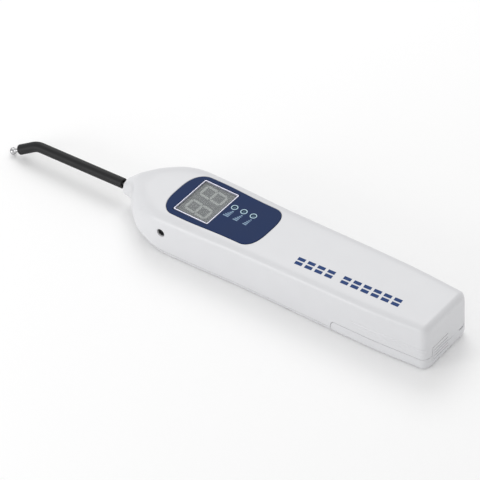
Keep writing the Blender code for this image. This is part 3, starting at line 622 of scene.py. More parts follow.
def led_hole(node):
    x, y, _ = led_place(node)
    radius = LED_RADIUS + FIT / 2
    return turned_mesh([(z, radius) for z in OPENING_Z], (x, y, 0), "Z")


def button_hole():
    """The hole for the button's cap through the right wall."""
    return prism_mesh(button_outline(FIT / 2), BUTTON_LOW.y - 7, -10, "Y")


BUTTON_HALF_LENGTH = 6.0
BUTTON_FLANGE_THICKNESS = 0.8
BUTTON_RIM = 0.55
BUTTON_DISH = 0.22


def button_outline(margin=0.0):
    """The cap's outline in side view: its box is the button's, less the flange on each end."""
    middle_x = (BUTTON_LOW.x + BUTTON_HIGH.x) / 2
    half_length = BUTTON_HALF_LENGTH + margin
    low = (middle_x - half_length, BUTTON_LOW.z - margin)
    high = (middle_x + half_length, BUTTON_HIGH.z + margin)
    return rounded_rectangle(low, high, (high[1] - low[1]) / 2 - 0.05, steps=12)


def screw_places():
    for node in SCREW_NODES:
        low, high = mm_box(node)
        yield (low.x + high.x) / 2, (low.y + high.y) / 2, high.z


def beyond_box(high_x=NOSE_X + BEYOND_X, low_z=BEYOND_Z[0], high_z=BEYOND_Z[1]):
    """A box that reaches well past the housing on every side that isn't given."""
    return box_mesh((SHELL_LOW.x - BEYOND_X, -BEYOND_Y, low_z), (high_x, BEYOND_Y, high_z))


def top_shell():
    steps = [("DIFFERENCE", body_form(offset=-WALL, start=12.5, end=LENGTH - WALL))]
    limit = new_mesh("post_limit", body_form(offset=-WALL / 2, start=5))
    for x, y, _ in screw_places():
        post = turned_mesh([(z, POST_RADIUS) for z in POST_Z], (x, y, 0), "Z", sides=32)
        steps.append(("UNION", combine(post, [("INTERSECT", limit.copy())])))
    for x, y, screw_top in screw_places():
        pilot_radius = SCREW_RADIUS + 0.15
        pilot = turned_mesh([(0, pilot_radius), (screw_top + 0.4, pilot_radius)], (x, y, 0), "Z", sides=24)
        steps.append(("DIFFERENCE", pilot))
    below = beyond_box(high_z=SPLIT_Z + SEAM / 2)
    notch_low = (SHELL_LOW.x - 1, TAB_Y[0] - SEAM, 0)
    notch_high = (SHELL_LOW.x + 2 * WALL, TAB_Y[1] + SEAM, TAB_Z[1] + SEAM)
    steps += [
        ("DIFFERENCE", below),
        ("DIFFERENCE", prism_mesh(cover_outline(SEAM / 2), -BEYOND_Y, BEYOND_Y, "Y")),
        ("DIFFERENCE", box_mesh(notch_low, notch_high)),
        ("DIFFERENCE", panel_form([(0.22, -SEAT_DEPTH), (0.22, -0.14), (0.42, 0.03), (0.42, 3.0)])),
        ("DIFFERENCE", window_opening()),
        ("DIFFERENCE", turned_mesh([(-16, BORE_RADIUS), (2, BORE_RADIUS)], (NOSE_X, 0, PROBE_Z), "X")),
        ("DIFFERENCE", jack_hole()),
        ("DIFFERENCE", button_hole()),
    ]
    steps += [("DIFFERENCE", led_hole(node)) for node in LED_NODES]
    mesh = combine(body_form(steps=FINE, pressed=True), steps)
    add_piece("upper_housing", mesh, WHITE, "housing", ["top_shell"])


def bottom_shell():
    limit = new_mesh("pad_limit", body_form(offset=-0.4, start=14))
    steps = [("DIFFERENCE", body_form(offset=-WALL, start=14, end=LENGTH - WALL))]
    for x, y, _ in screw_places():
        pad = turned_mesh([(PAD_SKIN, PAD_RADIUS), (SPLIT_Z + 0.5, PAD_RADIUS)], (x, y, 0), "Z", sides=40)
        steps.append(("UNION", combine(pad, [("INTERSECT", limit.copy())])))
    above = beyond_box(low_z=SPLIT_Z - SEAM / 2)
    behind = beyond_box(high_x=COVER_FRONT_X + SEAM / 2)
    rebate_low = (COVER_FRONT_X - 1, -TONGUE_HALF_WIDTH - FIT, WALL - TONGUE_THICKNESS - FIT)
    rebate_high = (COVER_FRONT_X + TONGUE_LENGTH + FIT, TONGUE_HALF_WIDTH + FIT, 5)
    steps += [("DIFFERENCE", form) for form in (above, behind, box_mesh(rebate_low, rebate_high))]
    head = SCREW_HEAD_RADIUS + FIT
    shank = SCREW_RADIUS + FIT
    for x, y, _ in screw_places():
        profile = [(-1, head + 1.3), (0.25, head), (COUNTERBORE_Z, head), (COUNTERBORE_Z, shank), (5, shank)]
        steps.append(("DIFFERENCE", turned_mesh(profile, (x, y, 0), "Z")))
    mesh = combine(body_form(steps=FINE, pressed=True), steps)
    add_piece("lower_housing", mesh, WHITE, "housing", ["bottom_shell"])


def battery_cover():
    """The sliding cover, with its proud ribbed latch tab, its front tongue and a pry slot at the rear."""
    tab_low = (COVER_LOW.x, TAB_Y[0], TAB_Z[0])
    tab_high = (SHELL_LOW.x + WALL - FIT, TAB_Y[1], TAB_Z[1])
    tongue_low = (COVER_FRONT_X - 1.5, -TONGUE_HALF_WIDTH, WALL - TONGUE_THICKNESS)
    tongue_high = (COVER_HIGH.x, TONGUE_HALF_WIDTH, WALL)
    slot_low = (SHELL_LOW.x - 1, PRY_SLOT_Y[0], COVER_Z - PRY_SLOT_DEPTH)
    slot_high = (SHELL_LOW.x + WALL + 1, PRY_SLOT_Y[1], COVER_Z + 1)
    steps = [
        ("DIFFERENCE", body_form(offset=-WALL, start=14, end=LENGTH - WALL)),
        ("INTERSECT", prism_mesh(cover_outline(-SEAM / 2), -BEYOND_Y, BEYOND_Y, "Y")),
        ("DIFFERENCE", box_mesh(slot_low, slot_high)),
        ("UNION", box_mesh(tab_low, tab_high, bevel=0.3)),
        ("UNION", box_mesh(tongue_low, tongue_high)),
    ]
    rib_pitch = (TAB_Z[1] - TAB_Z[0]) / (TAB_RIBS + 1)
    for k in range(TAB_RIBS):
        rib_z = TAB_Z[0] + rib_pitch * (k + 1)
        rib_low = (COVER_LOW.x - 1, TAB_Y[0] + 0.6, rib_z - TAB_RIB_HEIGHT / 2)
        rib_high = (COVER_LOW.x + TAB_RIB_DEPTH, TAB_Y[1] - 0.6, rib_z + TAB_RIB_HEIGHT / 2)
        steps.append(("DIFFERENCE", box_mesh(rib_low, rib_high)))
    mesh = combine(body_form(steps=FINE, pressed=True), steps)
    add_piece("sliding_cover", mesh, WHITE, "battery_cover", ["battery_cover"])


# Display --------------------------------------------------------------------------------------------------


def frame_mesh(low, high, corner, profile):
    """A rectangular frame or slab: rounded rectangles at (margin, z) levels, skinned in order."""
    rings = []
    for margin, z in profile:
        outline = rounded_rectangle(
            (low.x - margin, low.y - margin), (high.x + margin, high.y + margin), max(corner + margin, 0.02)
        )
        rings.append([(x, y, z) for x, y in outline])
    return rings


def display_panel():
    levels = [(0.1, -PANEL_DEPTH), (0.1, 0.0), (0.07, 0.07), (0.0, 0.11), (-0.1, PANEL_PROUD)]
    steps = [("DIFFERENCE", window_opening())]
    steps += [("DIFFERENCE", led_hole(node)) for node in LED_NODES]
    mesh = combine(panel_form(levels), steps)
    add_piece("overlay_panel", mesh, NAVY, "housing", ["display_panel"])


def window():
    top = BEZEL_HIGH.z
    inner = BEZEL_HIGH.x - WINDOW_HIGH.x - FIT
    rings = frame_mesh(
        BEZEL_LOW,
        BEZEL_HIGH,
        0.5,
        [(0.0, BEZEL_LOW.z), (0.0, top - 0.12), (-0.12, top), (-inner + 0.1, top), (-inner, top - 0.1),
         (-inner, BEZEL_LOW.z)],
    )
    bezel = rings_mesh(rings, closed_loop=True)
    add_piece("bezel_frame", bezel, SILVER, "housing", ["window_bezel"])
    spare = FIT - 0.06
    rings = frame_mesh(
        WINDOW_LOW,
        WINDOW_HIGH,
        0.3,
        [(spare - 0.1, WINDOW_LOW.z), (spare, WINDOW_LOW.z + 0.1), (spare, WINDOW_HIGH.z - 0.12),
         (spare - 0.12, WINDOW_HIGH.z)],
    )
    add_piece("window_pane", rings_mesh(rings), GLASS, "housing", ["display_window"])


SEGMENT_HALF_WIDTH = 0.56
DIGIT_HEIGHT = 11.0  # between the middles of the top and bottom strokes
DIGIT_WIDTH = 5.6
DIGIT_SLANT = 0.13
DIGIT_PITCH = 10.0
DIGIT_FACE_Z = WINDOW_LOW.z - 0.08
DIGIT_MIDDLE_X = 0.35  # from the module's middle
DIGIT_MIDDLE_Y = -0.3


def segment(bm, start, end, low_z, high_z):
    """One stroke of a digit: a bar with pointed ends between two (along, across) points."""
    start = Vector(start)
    end = Vector(end)
    along = (end - start).normalized()
    across = Vector((-along.y, along.x))
    gap = 0.14
    start = start + along * gap
    end = end - along * gap
    half = SEGMENT_HALF_WIDTH
    shoulder = along * half
    corners = [
        start, start + shoulder + across * half, end - shoulder + across * half,
        end, end - shoulder - across * half, start + shoulder - across * half,
    ]
    add_skin(bm, [[(x, y, z) for x, y in corners] for z in (low_z, high_z)])


def digits():
    """The two unlit digits, with their tops towards the nose, and the grey block that carries them."""
    bm = bmesh.new()
    middle_x = (MODULE_LOW.x + MODULE_HIGH.x) / 2 + DIGIT_MIDDLE_X
    face = DIGIT_FACE_Z
    for place in (-0.5, 0.5):
        middle_y = DIGIT_MIDDLE_Y + DIGIT_PITCH * place

        def corner(row, side):
            """A corner of the digit: row 1 is its top, 0 its waist, -1 its foot; side 1 is its left edge."""
            along = row * DIGIT_HEIGHT / 2
            return middle_x + along, middle_y + side * DIGIT_WIDTH / 2 - along * DIGIT_SLANT

        strokes = [(corner(row, 1), corner(row, -1)) for row in (1, 0, -1)]
        strokes += [(corner(row, side), corner(row - 1, side)) for row in (1, 0) for side in (1, -1)]
        for start, end in strokes:
            segment(bm, start, end, face - 0.4, face + 0.04)
    bmesh.ops.recalc_face_normals(bm, faces=bm.faces)
    add_piece("digit_strokes", bm, SEGMENT, "housing")

    rings = frame_mesh(
        MODULE_LOW,
        MODULE_HIGH,
        0.4,
        [(0.0, MODULE_LOW.z), (0.14, MODULE_LOW.z + 0.1), (0.14, face - 0.08), (0.06, face)],
    )
    add_piece("digit_block", rings_mesh(rings), MODULE_GREY, "housing", ["digit_module"])


def patch(bm, grid, low, high, wrap=False):
    """A thin closed print that follows the housing's crown, from rows of (station, y) points."""
    layers = []
    for offset in (low, high):
        layer = []
        for row in grid:
            layer.append([bm.verts.new((NOSE_X - s, y, top_z(s, y, offset))) for s, y in row])
        layers.append(layer)
    rows = len(grid)
    columns = len(grid[0])
    spans = columns if wrap else columns - 1
    for layer in layers:
        for i in range(rows - 1):
            for j in range(spans):
                k = (j + 1) % columns
                bm.faces.new((layer[i][j], layer[i][k], layer[i + 1][k], layer[i + 1][j]))
    under, over = layers
    for i in (0, rows - 1):
        for j in range(spans):
            k = (j + 1) % columns
            bm.faces.new((under[i][j], under[i][k], over[i][k], over[i][j]))
    if not wrap:
        for j in (0, columns - 1):
            for i in range(rows - 1):
                bm.faces.new((under[i][j], under[i + 1][j], over[i + 1][j], over[i][j]))


def quad_patch(bm, corners, low, high, rows=4, columns=6):
    """A print over a four-cornered area; the corners run round it as (station, y)."""
    a, b, c, d = (Vector(corner) for corner in corners)
    grid = []
    for v in spread(0.0, 1.0, rows):
        left = a.lerp(d, v)
        right = b.lerp(c, v)
        grid.append([tuple(left.lerp(right, u)) for u in spread(0.0, 1.0, columns)])
    patch(bm, grid, low, high)


RING_RADII = (1.12, 1.5)
LEVEL_BARS = 5
LEVEL_HEIGHTS = {"led_high": 2.7, "led_mid": 2.3, "led_low": 1.9}
LEVEL_Y = (-1.4, 3.0)
LEVEL_BAR_WIDTH = 0.55


def lights():
    """The three lights, each with a printed ring and a row of rising bars beside it."""
    rings_bm = bmesh.new()
    bars_bm = bmesh.new()
    low = PANEL_PROUD - 0.08
    high = PANEL_PROUD + 0.025
    for node in LED_NODES:
        x, y, top = led_place(node)
        station = NOSE_X - x
        turn = [2 * math.pi * k / 48 for k in range(48)]
        grid = []
        for radius in spread(*RING_RADII, 2):
            grid.append([(station + radius * math.cos(a), y + radius * math.sin(a)) for a in turn])
        patch(rings_bm, grid, low, high, wrap=True)
        pitch = (LEVEL_Y[1] - LEVEL_Y[0]) / LEVEL_BARS
        tallest = LEVEL_HEIGHTS[node]
        for k in range(LEVEL_BARS):
            left = LEVEL_Y[0] + pitch * k
            right = left + LEVEL_BAR_WIDTH
            foot = station + tallest / 2
            head = foot - tallest * (k + 2) / (LEVEL_BARS + 1)
            corners = [(foot, left), (foot, right), (head, right), (head, left)]
            quad_patch(bars_bm, corners, low, high, rows=3, columns=2)

        base = mm_box(node)[0].z
        dome = LED_DOME
        wide = LED_BASE_RADIUS
        profile = [(base, wide - 0.1), (base + 0.1, wide), (base + 4.4, wide), (base + 5.2, LED_RADIUS)]
        profile.append((top - dome, LED_RADIUS))
        for angle in spread(0.0, math.pi / 2, 10)[1:-1]:
            profile.append((top - dome + dome * math.sin(angle), LED_RADIUS * math.cos(angle)))
        lens = turned_mesh(profile, (x, y, 0), "Z")
        add_piece(node.replace("led_", "light_"), lens, LENS, "housing", [node])
    for name, bm, ink in (("light_rings", rings_bm, PRINT_CYAN), ("level_bars", bars_bm, PRINT_DIM)):
        bmesh.ops.recalc_face_normals(bm, faces=bm.faces)
        add_piece(name, bm, ink, "housing")


MARK_START = (93.5, 8.3)  # station and y of the front end's middle
MARK_END = (143.5, 6.6)
MARK_HEIGHT = 4.3
MARK_GROUPS = ((0.0, 4), (0.437, 6))  # where each group starts, as a share of the length, and its blocks
MARK_LEAN = -0.08


def blue_mark():
    """A plain decoration in two groups of leaning blocks on the top face, in place of any lettering."""
    bm = bmesh.new()
    start = Vector(MARK_START)
    along = Vector(MARK_END) - start
    across = Vector((-along.y, along.x)).normalized()
    lean = along.normalized() * MARK_LEAN * MARK_HEIGHT
    pitch = along / 10.5
    for group_start, blocks in MARK_GROUPS:
        for k in range(blocks):
            foot = start + along * group_start + pitch * k + lean / 2
            for low_share, high_share in ((-0.5, -0.09), (0.09, 0.5)):
                low = foot + across * MARK_HEIGHT * low_share - lean * (low_share + 0.5)
                high = foot + across * MARK_HEIGHT * high_share - lean * (high_share + 0.5)
                width = pitch * 0.72
                corners = [low, low + width, high + width, high]
                quad_patch(bm, corners, -0.08, 0.03)
    bmesh.ops.recalc_face_normals(bm, faces=bm.faces)
    add_piece("blue_mark", bm, PRINT_BLUE, "housing")


# Jack, button and probe -----------------------------------------------------------------------------------


def jack_centre():
    return (JACK_LOW.x + JACK_HIGH.x) / 2, (JACK_LOW.z + JACK_HIGH.z) / 2


def jack_hole():
    x, z = jack_centre()
    return turned_mesh([(8, 1.85), (JACK_HIGH.y + 0.35, 1.85), (JACK_HIGH.y + 1.2, 2.3)], (x, 0, z), "Y")


def jack():
    """The socket for the lip hook's plug: a black barrel with a rounded mouth and a sprung metal sleeve."""
    x, z = jack_centre()
    base = JACK_LOW.y
    mouth = JACK_HIGH.y
    bore = 1.22
    profile = [(base, 1.0), (base, 2.3), (base + 0.1, 2.4), (base + 3.1, 2.4), (base + 3.2, 2.3)]
    profile += [(base + 3.2, 1.7)]
    profile += [(mouth - 0.25, 1.7), (mouth, 1.5), (mouth, bore + 0.12), (mouth - 0.15, bore)]
    profile += [(base + 0.6, bore), (base, 1.0)]
    barrel = turned_mesh(profile, (x, 0, z), "Y")
    add_piece("jack_barrel", barrel, BLACK, "housing", ["lip_hook_jack"])
    sleeve = [(base + 1.0, 0.95), (base + 1.0, 1.16), (mouth - 0.9, 1.16), (mouth - 0.8, 1.05)]
    sleeve += [(mouth - 0.8, 0.95), (base + 1.0, 0.95)]
    add_piece("jack_contact", turned_mesh(sleeve, (x, 0, z), "Y"), STEEL, "housing")


def push_button():
    """A pill-shaped cap with a softly rounded rim and a dished face, on its flange inside the wall."""
    flange_low, flange_high = (BUTTON_LOW.x, BUTTON_LOW.z), (BUTTON_HIGH.x, BUTTON_HIGH.z)
    inner = BUTTON_HIGH.y
    outer = BUTTON_LOW.y
    flange = rounded_rectangle(flange_low, flange_high, 0.5, steps=12)
    front = inner - BUTTON_FLANGE_THICKNESS
    rings = [[(x, y, z) for x, z in flange] for y in (inner, front)]
    cap = button_outline()
    middle = Vector(((BUTTON_LOW.x + BUTTON_HIGH.x) / 2, (BUTTON_LOW.z + BUTTON_HIGH.z) / 2))
    rings.append([(x, front, z) for x, z in cap])
    for angle in spread(0.0, math.pi / 2, 8):
        inset = BUTTON_RIM * (1 - math.cos(angle))
        y = outer + BUTTON_RIM * (1 - math.sin(angle))
        ring = button_outline(-inset)
        rings.append([(x, y, z) for x, z in ring])
    face = rings[-1]
    for share in (0.9, 0.75, 0.55, 0.3, 0.1):
        dish = BUTTON_DISH * (1 - share ** 2)
        rings.append([(middle.x + (x - middle.x) * share, outer + dish, middle.y + (z - middle.y) * share)
                      for x, _, z in face])
    add_piece("button_cap", rings_mesh(rings), BUTTON_BLUE, "push_button", ["push_button"])


def probe_path(start_x, tip_length):
    """Points along the probe: out of the nose, a slightly drooping arm, a round bend and a straight tip."""
    root = Vector((ROOT_X, 0, PROBE_Z))
    arm = Vector((math.cos(DROOP), 0, -math.sin(DROOP)))
    bend = root + arm * ((BEND_X - ROOT_X) / arm.x)
    path = []
    first = root + arm * ((start_x - ROOT_X) / arm.x)
    if start_x < ROOT_X:
        path = [Vector((x, 0, PROBE_Z)) for x in spread(start_x, ROOT_X - 0.3, 6)]
        first = root + arm * 0.3
    tangent = BEND_RADIUS * math.tan((TIP_ANGLE - DROOP) / 2)
    last = bend - arm * (tangent + 0.5)
    path += [first.lerp(last, share) for share in spread(0.0, 1.0, 24)]
    centre = bend - arm * tangent - BEND_RADIUS * Vector((math.sin(DROOP), 0, math.cos(DROOP)))
    for angle in spread(DROOP, TIP_ANGLE, 20):
        path.append(centre + BEND_RADIUS * Vector((math.sin(angle), 0, math.cos(angle))))
    first = path[-1]
    last = bend + tip_length * Vector((math.cos(TIP_ANGLE), 0, -math.sin(TIP_ANGLE)))
    return path + [first.lerp(last, share) for share in spread(0.0, 1.0, 10)[1:]]


def rest_turn():
    """The turn about the bore, in metres, that makes the probe's tip clear the surface under the housing."""
    centre = Matrix.Translation((0, 0, PROBE_Z * MM))
    return centre @ Matrix.Rotation(PROBE_REST_TURN, 4, "X") @ centre.inverted()


def tip_slot(end, forward):
    """The narrow slot across the probe's flared end, in the tip's own direction."""
    side = Vector((0, math.cos(TIP_SLOT_TURN), 0))
    side += Vector((0, 1, 0)).cross(forward) * math.sin(TIP_SLOT_TURN)
    third = forward.cross(side)
    slot = box_mesh((-TIP_SLOT_DEPTH, -TIP_SLOT_WIDTH / 2, -3), (1, TIP_SLOT_WIDTH / 2, 3))
    turn = Matrix((forward, side, third)).transposed().to_4x4()
    bmesh.ops.transform(slot, verts=slot.verts, matrix=Matrix.Translation(end) @ turn)
    return slot


def swept_rings(path, radii, sides=48):
    """Rings round a path in the XZ plane, one for each point and radius."""
    rings = []
    turn = [2 * math.pi * k / sides for k in range(sides)]
    for i, (point, radius) in enumerate(zip(path, radii)):
        along = path[min(i + 1, len(path) - 1)] - path[max(i - 1, 0)]
        across = Vector((0, 1, 0))
        third = along.normalized().cross(across)
        rings.append([point + radius * (across * math.cos(a) + third * math.sin(a)) for a in turn])
    return rings


def round_ends(path, radius, rim):
    """Splits a path's two ends for a rounded rim, and gives a radius for each point of the longer path."""
    first = (path[1] - path[0]).normalized()
    last = (path[-1] - path[-2]).normalized()
    shares = spread(0.0, math.pi / 2, 5)
    curve = [(rim * (1 - math.cos(a)), radius - rim * (1 - math.sin(a))) for a in shares]
    head = [(path[0] + first * inset, rim_radius) for inset, rim_radius in curve]
    tail = [(path[-1] - last * inset, rim_radius) for inset, rim_radius in curve[::-1]]
    body = [(point, radius) for point in path[1:-1]]
    points = head + body + tail
    return [p for p, _ in points], [r for _, r in points]


def probe():
    path, radii = round_ends(probe_path(SLEEVE_START_X, SLEEVE_TIP_LENGTH), SLEEVE_RADIUS, 0.22)
    bore = [SLEEVE_BORE_RADIUS] * len(path)
    skin = swept_rings(path, radii) + swept_rings(path, bore)[::-1]
    tube = new_mesh("probe_tube", rings_mesh(skin, closed_loop=True))
    tube.transform(rest_turn())
    add_piece("probe_tube", tube, SLEEVE, "probe", ["probe_sleeve"])

    path = probe_path(PIN_START_X, PIN_TIP_LENGTH)
    forward = (path[-1] - path[-2]).normalized()
    end = path.pop()
    radii = [PIN_RADIUS] * len(path)
    tip = [(2.5, PIN_RADIUS), (2.2, PIN_RADIUS), (1.95, 1.05), (1.6, TIP_RADIUS - 0.12), (1.4, TIP_RADIUS)]
    tip += [(0.45, TIP_RADIUS), (0.2, TIP_RADIUS - 0.12), (0.05, TIP_RADIUS - 0.4), (0.0, TIP_RADIUS - 0.7)]
    while (end - path[-1]).length < tip[0][0]:
        path.pop()
        radii.pop()
    for back, radius in tip:
        path.append(end - forward * back)
        radii.append(radius)
    core = combine(rings_mesh(swept_rings(path, radii)), [("DIFFERENCE", tip_slot(end, forward))])
    core.transform(rest_turn())
    add_piece("probe_core", core, PROBE_STEEL, "probe", ["probe_pin"])


def screws():
    """Four countersunk cross-head screws."""
    for node in SCREW_NODES:
        low, high = mm_box(node)
        x = (low.x + high.x) / 2
        y = (low.y + high.y) / 2
        head = SCREW_HEAD_RADIUS
        profile = [(low.z, head - 0.3), (low.z + 0.15, head), (low.z + 0.75, head)]
        profile += [(low.z + 0.75, SCREW_RADIUS), (high.z - 0.8, SCREW_RADIUS), (high.z, 0.3)]
        steps = []
        for long, wide in ((CROSS_LENGTH, CROSS_WIDTH), (CROSS_WIDTH, CROSS_LENGTH)):
            slot_low = (x - long / 2, y - wide / 2, low.z - 1)
            slot_high = (x + long / 2, y + wide / 2, low.z + CROSS_DEPTH)
            steps.append(("DIFFERENCE", box_mesh(slot_low, slot_high)))
        mesh = combine(turned_mesh(profile, (x, y, 0), "Z"), steps)
        name = node.replace("screw_", "cross_screw_")
        add_piece(name, mesh, STEEL, "housing", [node])


# Battery --------------------------------------------------------------------------------------------------

CAN_CORNER_RADIUS = 2.3
LABEL_LENGTH = 15.0


def can_rings(low, high, profile):
    """Rounded rectangles across the battery's length, at (margin, x) levels."""
    rings = []
    for margin, x in profile:
        corner = CAN_CORNER_RADIUS - margin
        outline = rounded_rectangle(
            (low.y + margin, low.z + margin), (high.y - margin, high.z - margin), corner
        )
        rings.append([(x, y, z) for y, z in outline])
    return rings


def round_node(node):
    """The first and last x of a CAD node that is turned about X, with its axis's place and its radius."""
    low, high = mm_box(node)
    return low.x, high.x, (0, (low.y + high.y) / 2, (low.z + high.z) / 2), (high.y - low.y) / 2


def battery():
    """The block battery: a can with crimped ends, a coloured label band, its two studs and its pad."""
    low, high = mm_box("battery")
    profile = [(0.7, low.x), (0.15, low.x + 0.12), (0.0, low.x + 0.5), (0.0, low.x + 1.1)]
    profile.append((0.22, low.x + 1.5))
    profile += [(margin, low.x + high.x - x) for margin, x in profile[::-1]]
    can = rings_mesh(can_rings(low, high, profile))
    add_piece("battery_can", can, CASE, "housing", ["battery"])
    start = high.x - 1.8 - LABEL_LENGTH
    end = high.x - 1.8
    band = [(0.30, start), (0.12, start), (0.08, start + 0.1), (0.08, end - 0.1), (0.12, end), (0.30, end)]
    band = rings_mesh(can_rings(low, high, band), closed_loop=True)
    add_piece("battery_label", band, COPPER, "housing")

    start, end, centre, radius = round_node("battery_plus_stud")
    post = [(start, radius - 0.4), (start + 1.2, radius - 0.4), (start + 1.5, radius - 0.1)]
    post += [(start + 1.8, radius), (end - 0.2, radius - 0.1), (end, radius - 0.4)]
    post = turned_mesh(post, centre, "X")
    add_piece("plus_post", post, STEEL, "housing", ["battery_plus_stud"])

    start, end, centre, radius = round_node("battery_minus_stud")
    crown = [(start, radius - 0.5), (start + 0.5, radius - 0.4), (end - 0.3, radius)]
    crown += [(end, radius - 0.15), (end, radius - 0.5), (start + 0.8, radius - 1.0)]
    crown += [(start + 0.8, 0.4), (start, 0.4)]
    crown = turned_mesh(crown + crown[:1], centre, "X", sides=6)
    add_piece("minus_crown", crown, STEEL, "housing", ["battery_minus_stud"])

    strap = box_mesh(*mm_box("battery_connector"), bevel=0.6, segments=6)
    add_piece("snap_strap", strap, BLACK, "housing", ["battery_connector"])
    pad = box_mesh(*mm_box("battery_pad"), bevel=0.9, segments=6)
    add_piece("soft_pad", pad, FOAM, "housing", ["battery_pad"])


# Electronics ----------------------------------------------------------------------------------------------

CHIP_LEADS = 9
CHIP_LEAD_REACH = 1.1  # how far the leads stand out past the chip's body
LEAD_WIDTH = 0.42
BOARD_CORNER_RADIUS = 1.2
CORE_BAR_WIDTH = 2.6
HEAT_TAB_REACH = 1.3
VENT_WIDTH = 0.3
SOUND_HOLE_RADIUS = 0.95
PLUNGER_RADIUS = 1.4
PLUNGER_LENGTH = 0.7
COLLET_SLIT_LENGTH = 7.5
COLLET_SLIT_WIDTH = 0.3


def board():
    low, high = mm_box("main_board")
    outline = rounded_rectangle((low.x, low.y), (high.x, high.y), BOARD_CORNER_RADIUS, steps=10)
    plate = prism_mesh(outline, low.z, high.z, "Z")
    add_piece("circuit_board", plate, BOARD, "housing", ["main_board"])


def microcontroller():
    """A chip under the board, with a row of bent leads along each side."""
    low, high = mm_box("microcontroller")
    reach = CHIP_LEAD_REACH
    body_low = (low.x, low.y + reach, low.z)
    body = box_mesh(body_low, (high.x, high.y - reach, high.z - 0.15), bevel=0.16, segments=4)
    dimple = turned_mesh([(low.z - 1, 0.5), (low.z + 0.12, 0.5)], (low.x + 1.4, high.y - reach - 1.2, 0), "Z")
    body = combine(body, [("DIFFERENCE", dimple)])
    add_piece("chip_body", body, BLACK, "housing", ["microcontroller"])
    bm = bmesh.new()
    middle = (low.z + high.z) / 2
    pitch = (high.x - low.x - 1.2) / (CHIP_LEADS - 1)
    for k in range(CHIP_LEADS):
        x = low.x + 0.6 + pitch * k
        for edge, turn in ((high.y, 1), (low.y, -1)):
            outline = [
                (edge - turn * (reach + 0.1), middle), (edge - turn * 0.55, middle),
                (edge - turn * 0.45, high.z - 0.2), (edge, high.z - 0.2), (edge, high.z),
                (edge - turn * 0.62, high.z), (edge - turn * 0.72, middle + 0.18),
                (edge - turn * (reach + 0.1), middle + 0.18),
            ]
            half = LEAD_WIDTH / 2
            add_skin(bm, [[(x + side, y, z) for y, z in outline] for side in (-half, half)])
    bmesh.ops.recalc_face_normals(bm, faces=bm.faces)
    add_piece("chip_leads", bm, STEEL, "housing")


def transformer():
    """The step-up transformer: taped windings between the two bars of a ferrite core."""
    low, high = mm_box("step_up_transformer")
    bar = CORE_BAR_WIDTH
    windings_low = (low.x + 0.7, low.y + bar, low.z + 0.25)
    windings_high = (high.x - 0.7, high.y - bar, high.z - 0.1)
    windings = box_mesh(windings_low, windings_high, bevel=1.3, segments=6)
    add_piece("taped_windings", windings, TAPE, "housing", ["step_up_transformer"])
    left = box_mesh((low.x, high.y - bar, low.z), high, bevel=0.3, segments=4)
    right = box_mesh(low, (high.x, low.y + bar, high.z), bevel=0.3, segments=4)
    add_piece("core_bar_left", left, BLACK, "housing")
    add_piece("core_bar_right", right, BLACK, "housing")


def transistor():
    """The switching transistor, with its soldered metal tab."""
    low, high = mm_box("switching_transistor")
    body = box_mesh(low, (high.x, high.y - HEAT_TAB_REACH, high.z - 0.1), bevel=0.3, segments=4)
    add_piece("transistor_body", body, BLACK, "housing", ["switching_transistor"])
    tab_low = (low.x + 0.3, high.y - HEAT_TAB_REACH - 0.2, high.z - 0.6)
    tab = box_mesh(tab_low, (high.x - 0.3, high.y, high.z), bevel=0.12)
    add_piece("transistor_tab", tab, STEEL, "housing")


def capacitor():
    """The storage capacitor: a can in a sleeve that is rolled in near its sealed end."""
    start, end, centre, radius = round_node("storage_capacitor")
    sleeve = [(start, radius - 0.9), (start, radius - 0.5), (start + 0.15, radius - 0.15)]
    sleeve += [(start + 0.5, radius), (start + 1.4, radius), (start + 1.7, radius - 0.35)]
    sleeve += [(start + 2.0, radius - 0.35), (start + 2.3, radius), (end - 0.4, radius)]
    sleeve += [(end - 0.1, radius - 0.2), (end, radius - 0.6), (end, radius - 0.9)]
    sleeve = turned_mesh(sleeve + sleeve[:1], centre, "X")
    add_piece("capacitor_sleeve", sleeve, BLACK, "housing", ["storage_capacitor"])
    inner = radius - 0.95
    can = turned_mesh([(start + 0.15, inner), (end - 0.15, inner)], centre, "X")
    vents = []
    vent_length = 2 * inner * 0.8
    for wide, tall in ((vent_length, VENT_WIDTH), (VENT_WIDTH, vent_length)):
        vent_low = (end - 0.4, centre[1] - wide / 2, centre[2] - tall / 2)
        vent_high = (end + 1, centre[1] + wide / 2, centre[2] + tall / 2)
        vents.append(("DIFFERENCE", box_mesh(vent_low, vent_high)))
    add_piece("capacitor_can", combine(can, vents), STEEL, "housing")


def buzzer():
    """The buzzer: a stepped drum with a sound hole in its top."""
    low, high = mm_box("buzzer")
    radius = (high.x - low.x) / 2
    centre = ((low.x + high.x) / 2, (low.y + high.y) / 2, 0)
    drum = [(low.z, radius - 0.15), (low.z + 0.15, radius), (low.z + 0.9, radius)]
    drum += [(low.z + 1.0, radius - 0.2), (high.z - 0.4, radius - 0.2)]
    drum += [(high.z - 0.12, radius - 0.32), (high.z, radius - 0.6)]
    hole = SOUND_HOLE_RADIUS
    drum += [(high.z, hole + 0.15), (high.z - 0.15, hole), (high.z - 1.2, hole)]
    add_piece("buzzer_drum", turned_mesh(drum, centre, "Z"), BLACK, "housing", ["buzzer"])


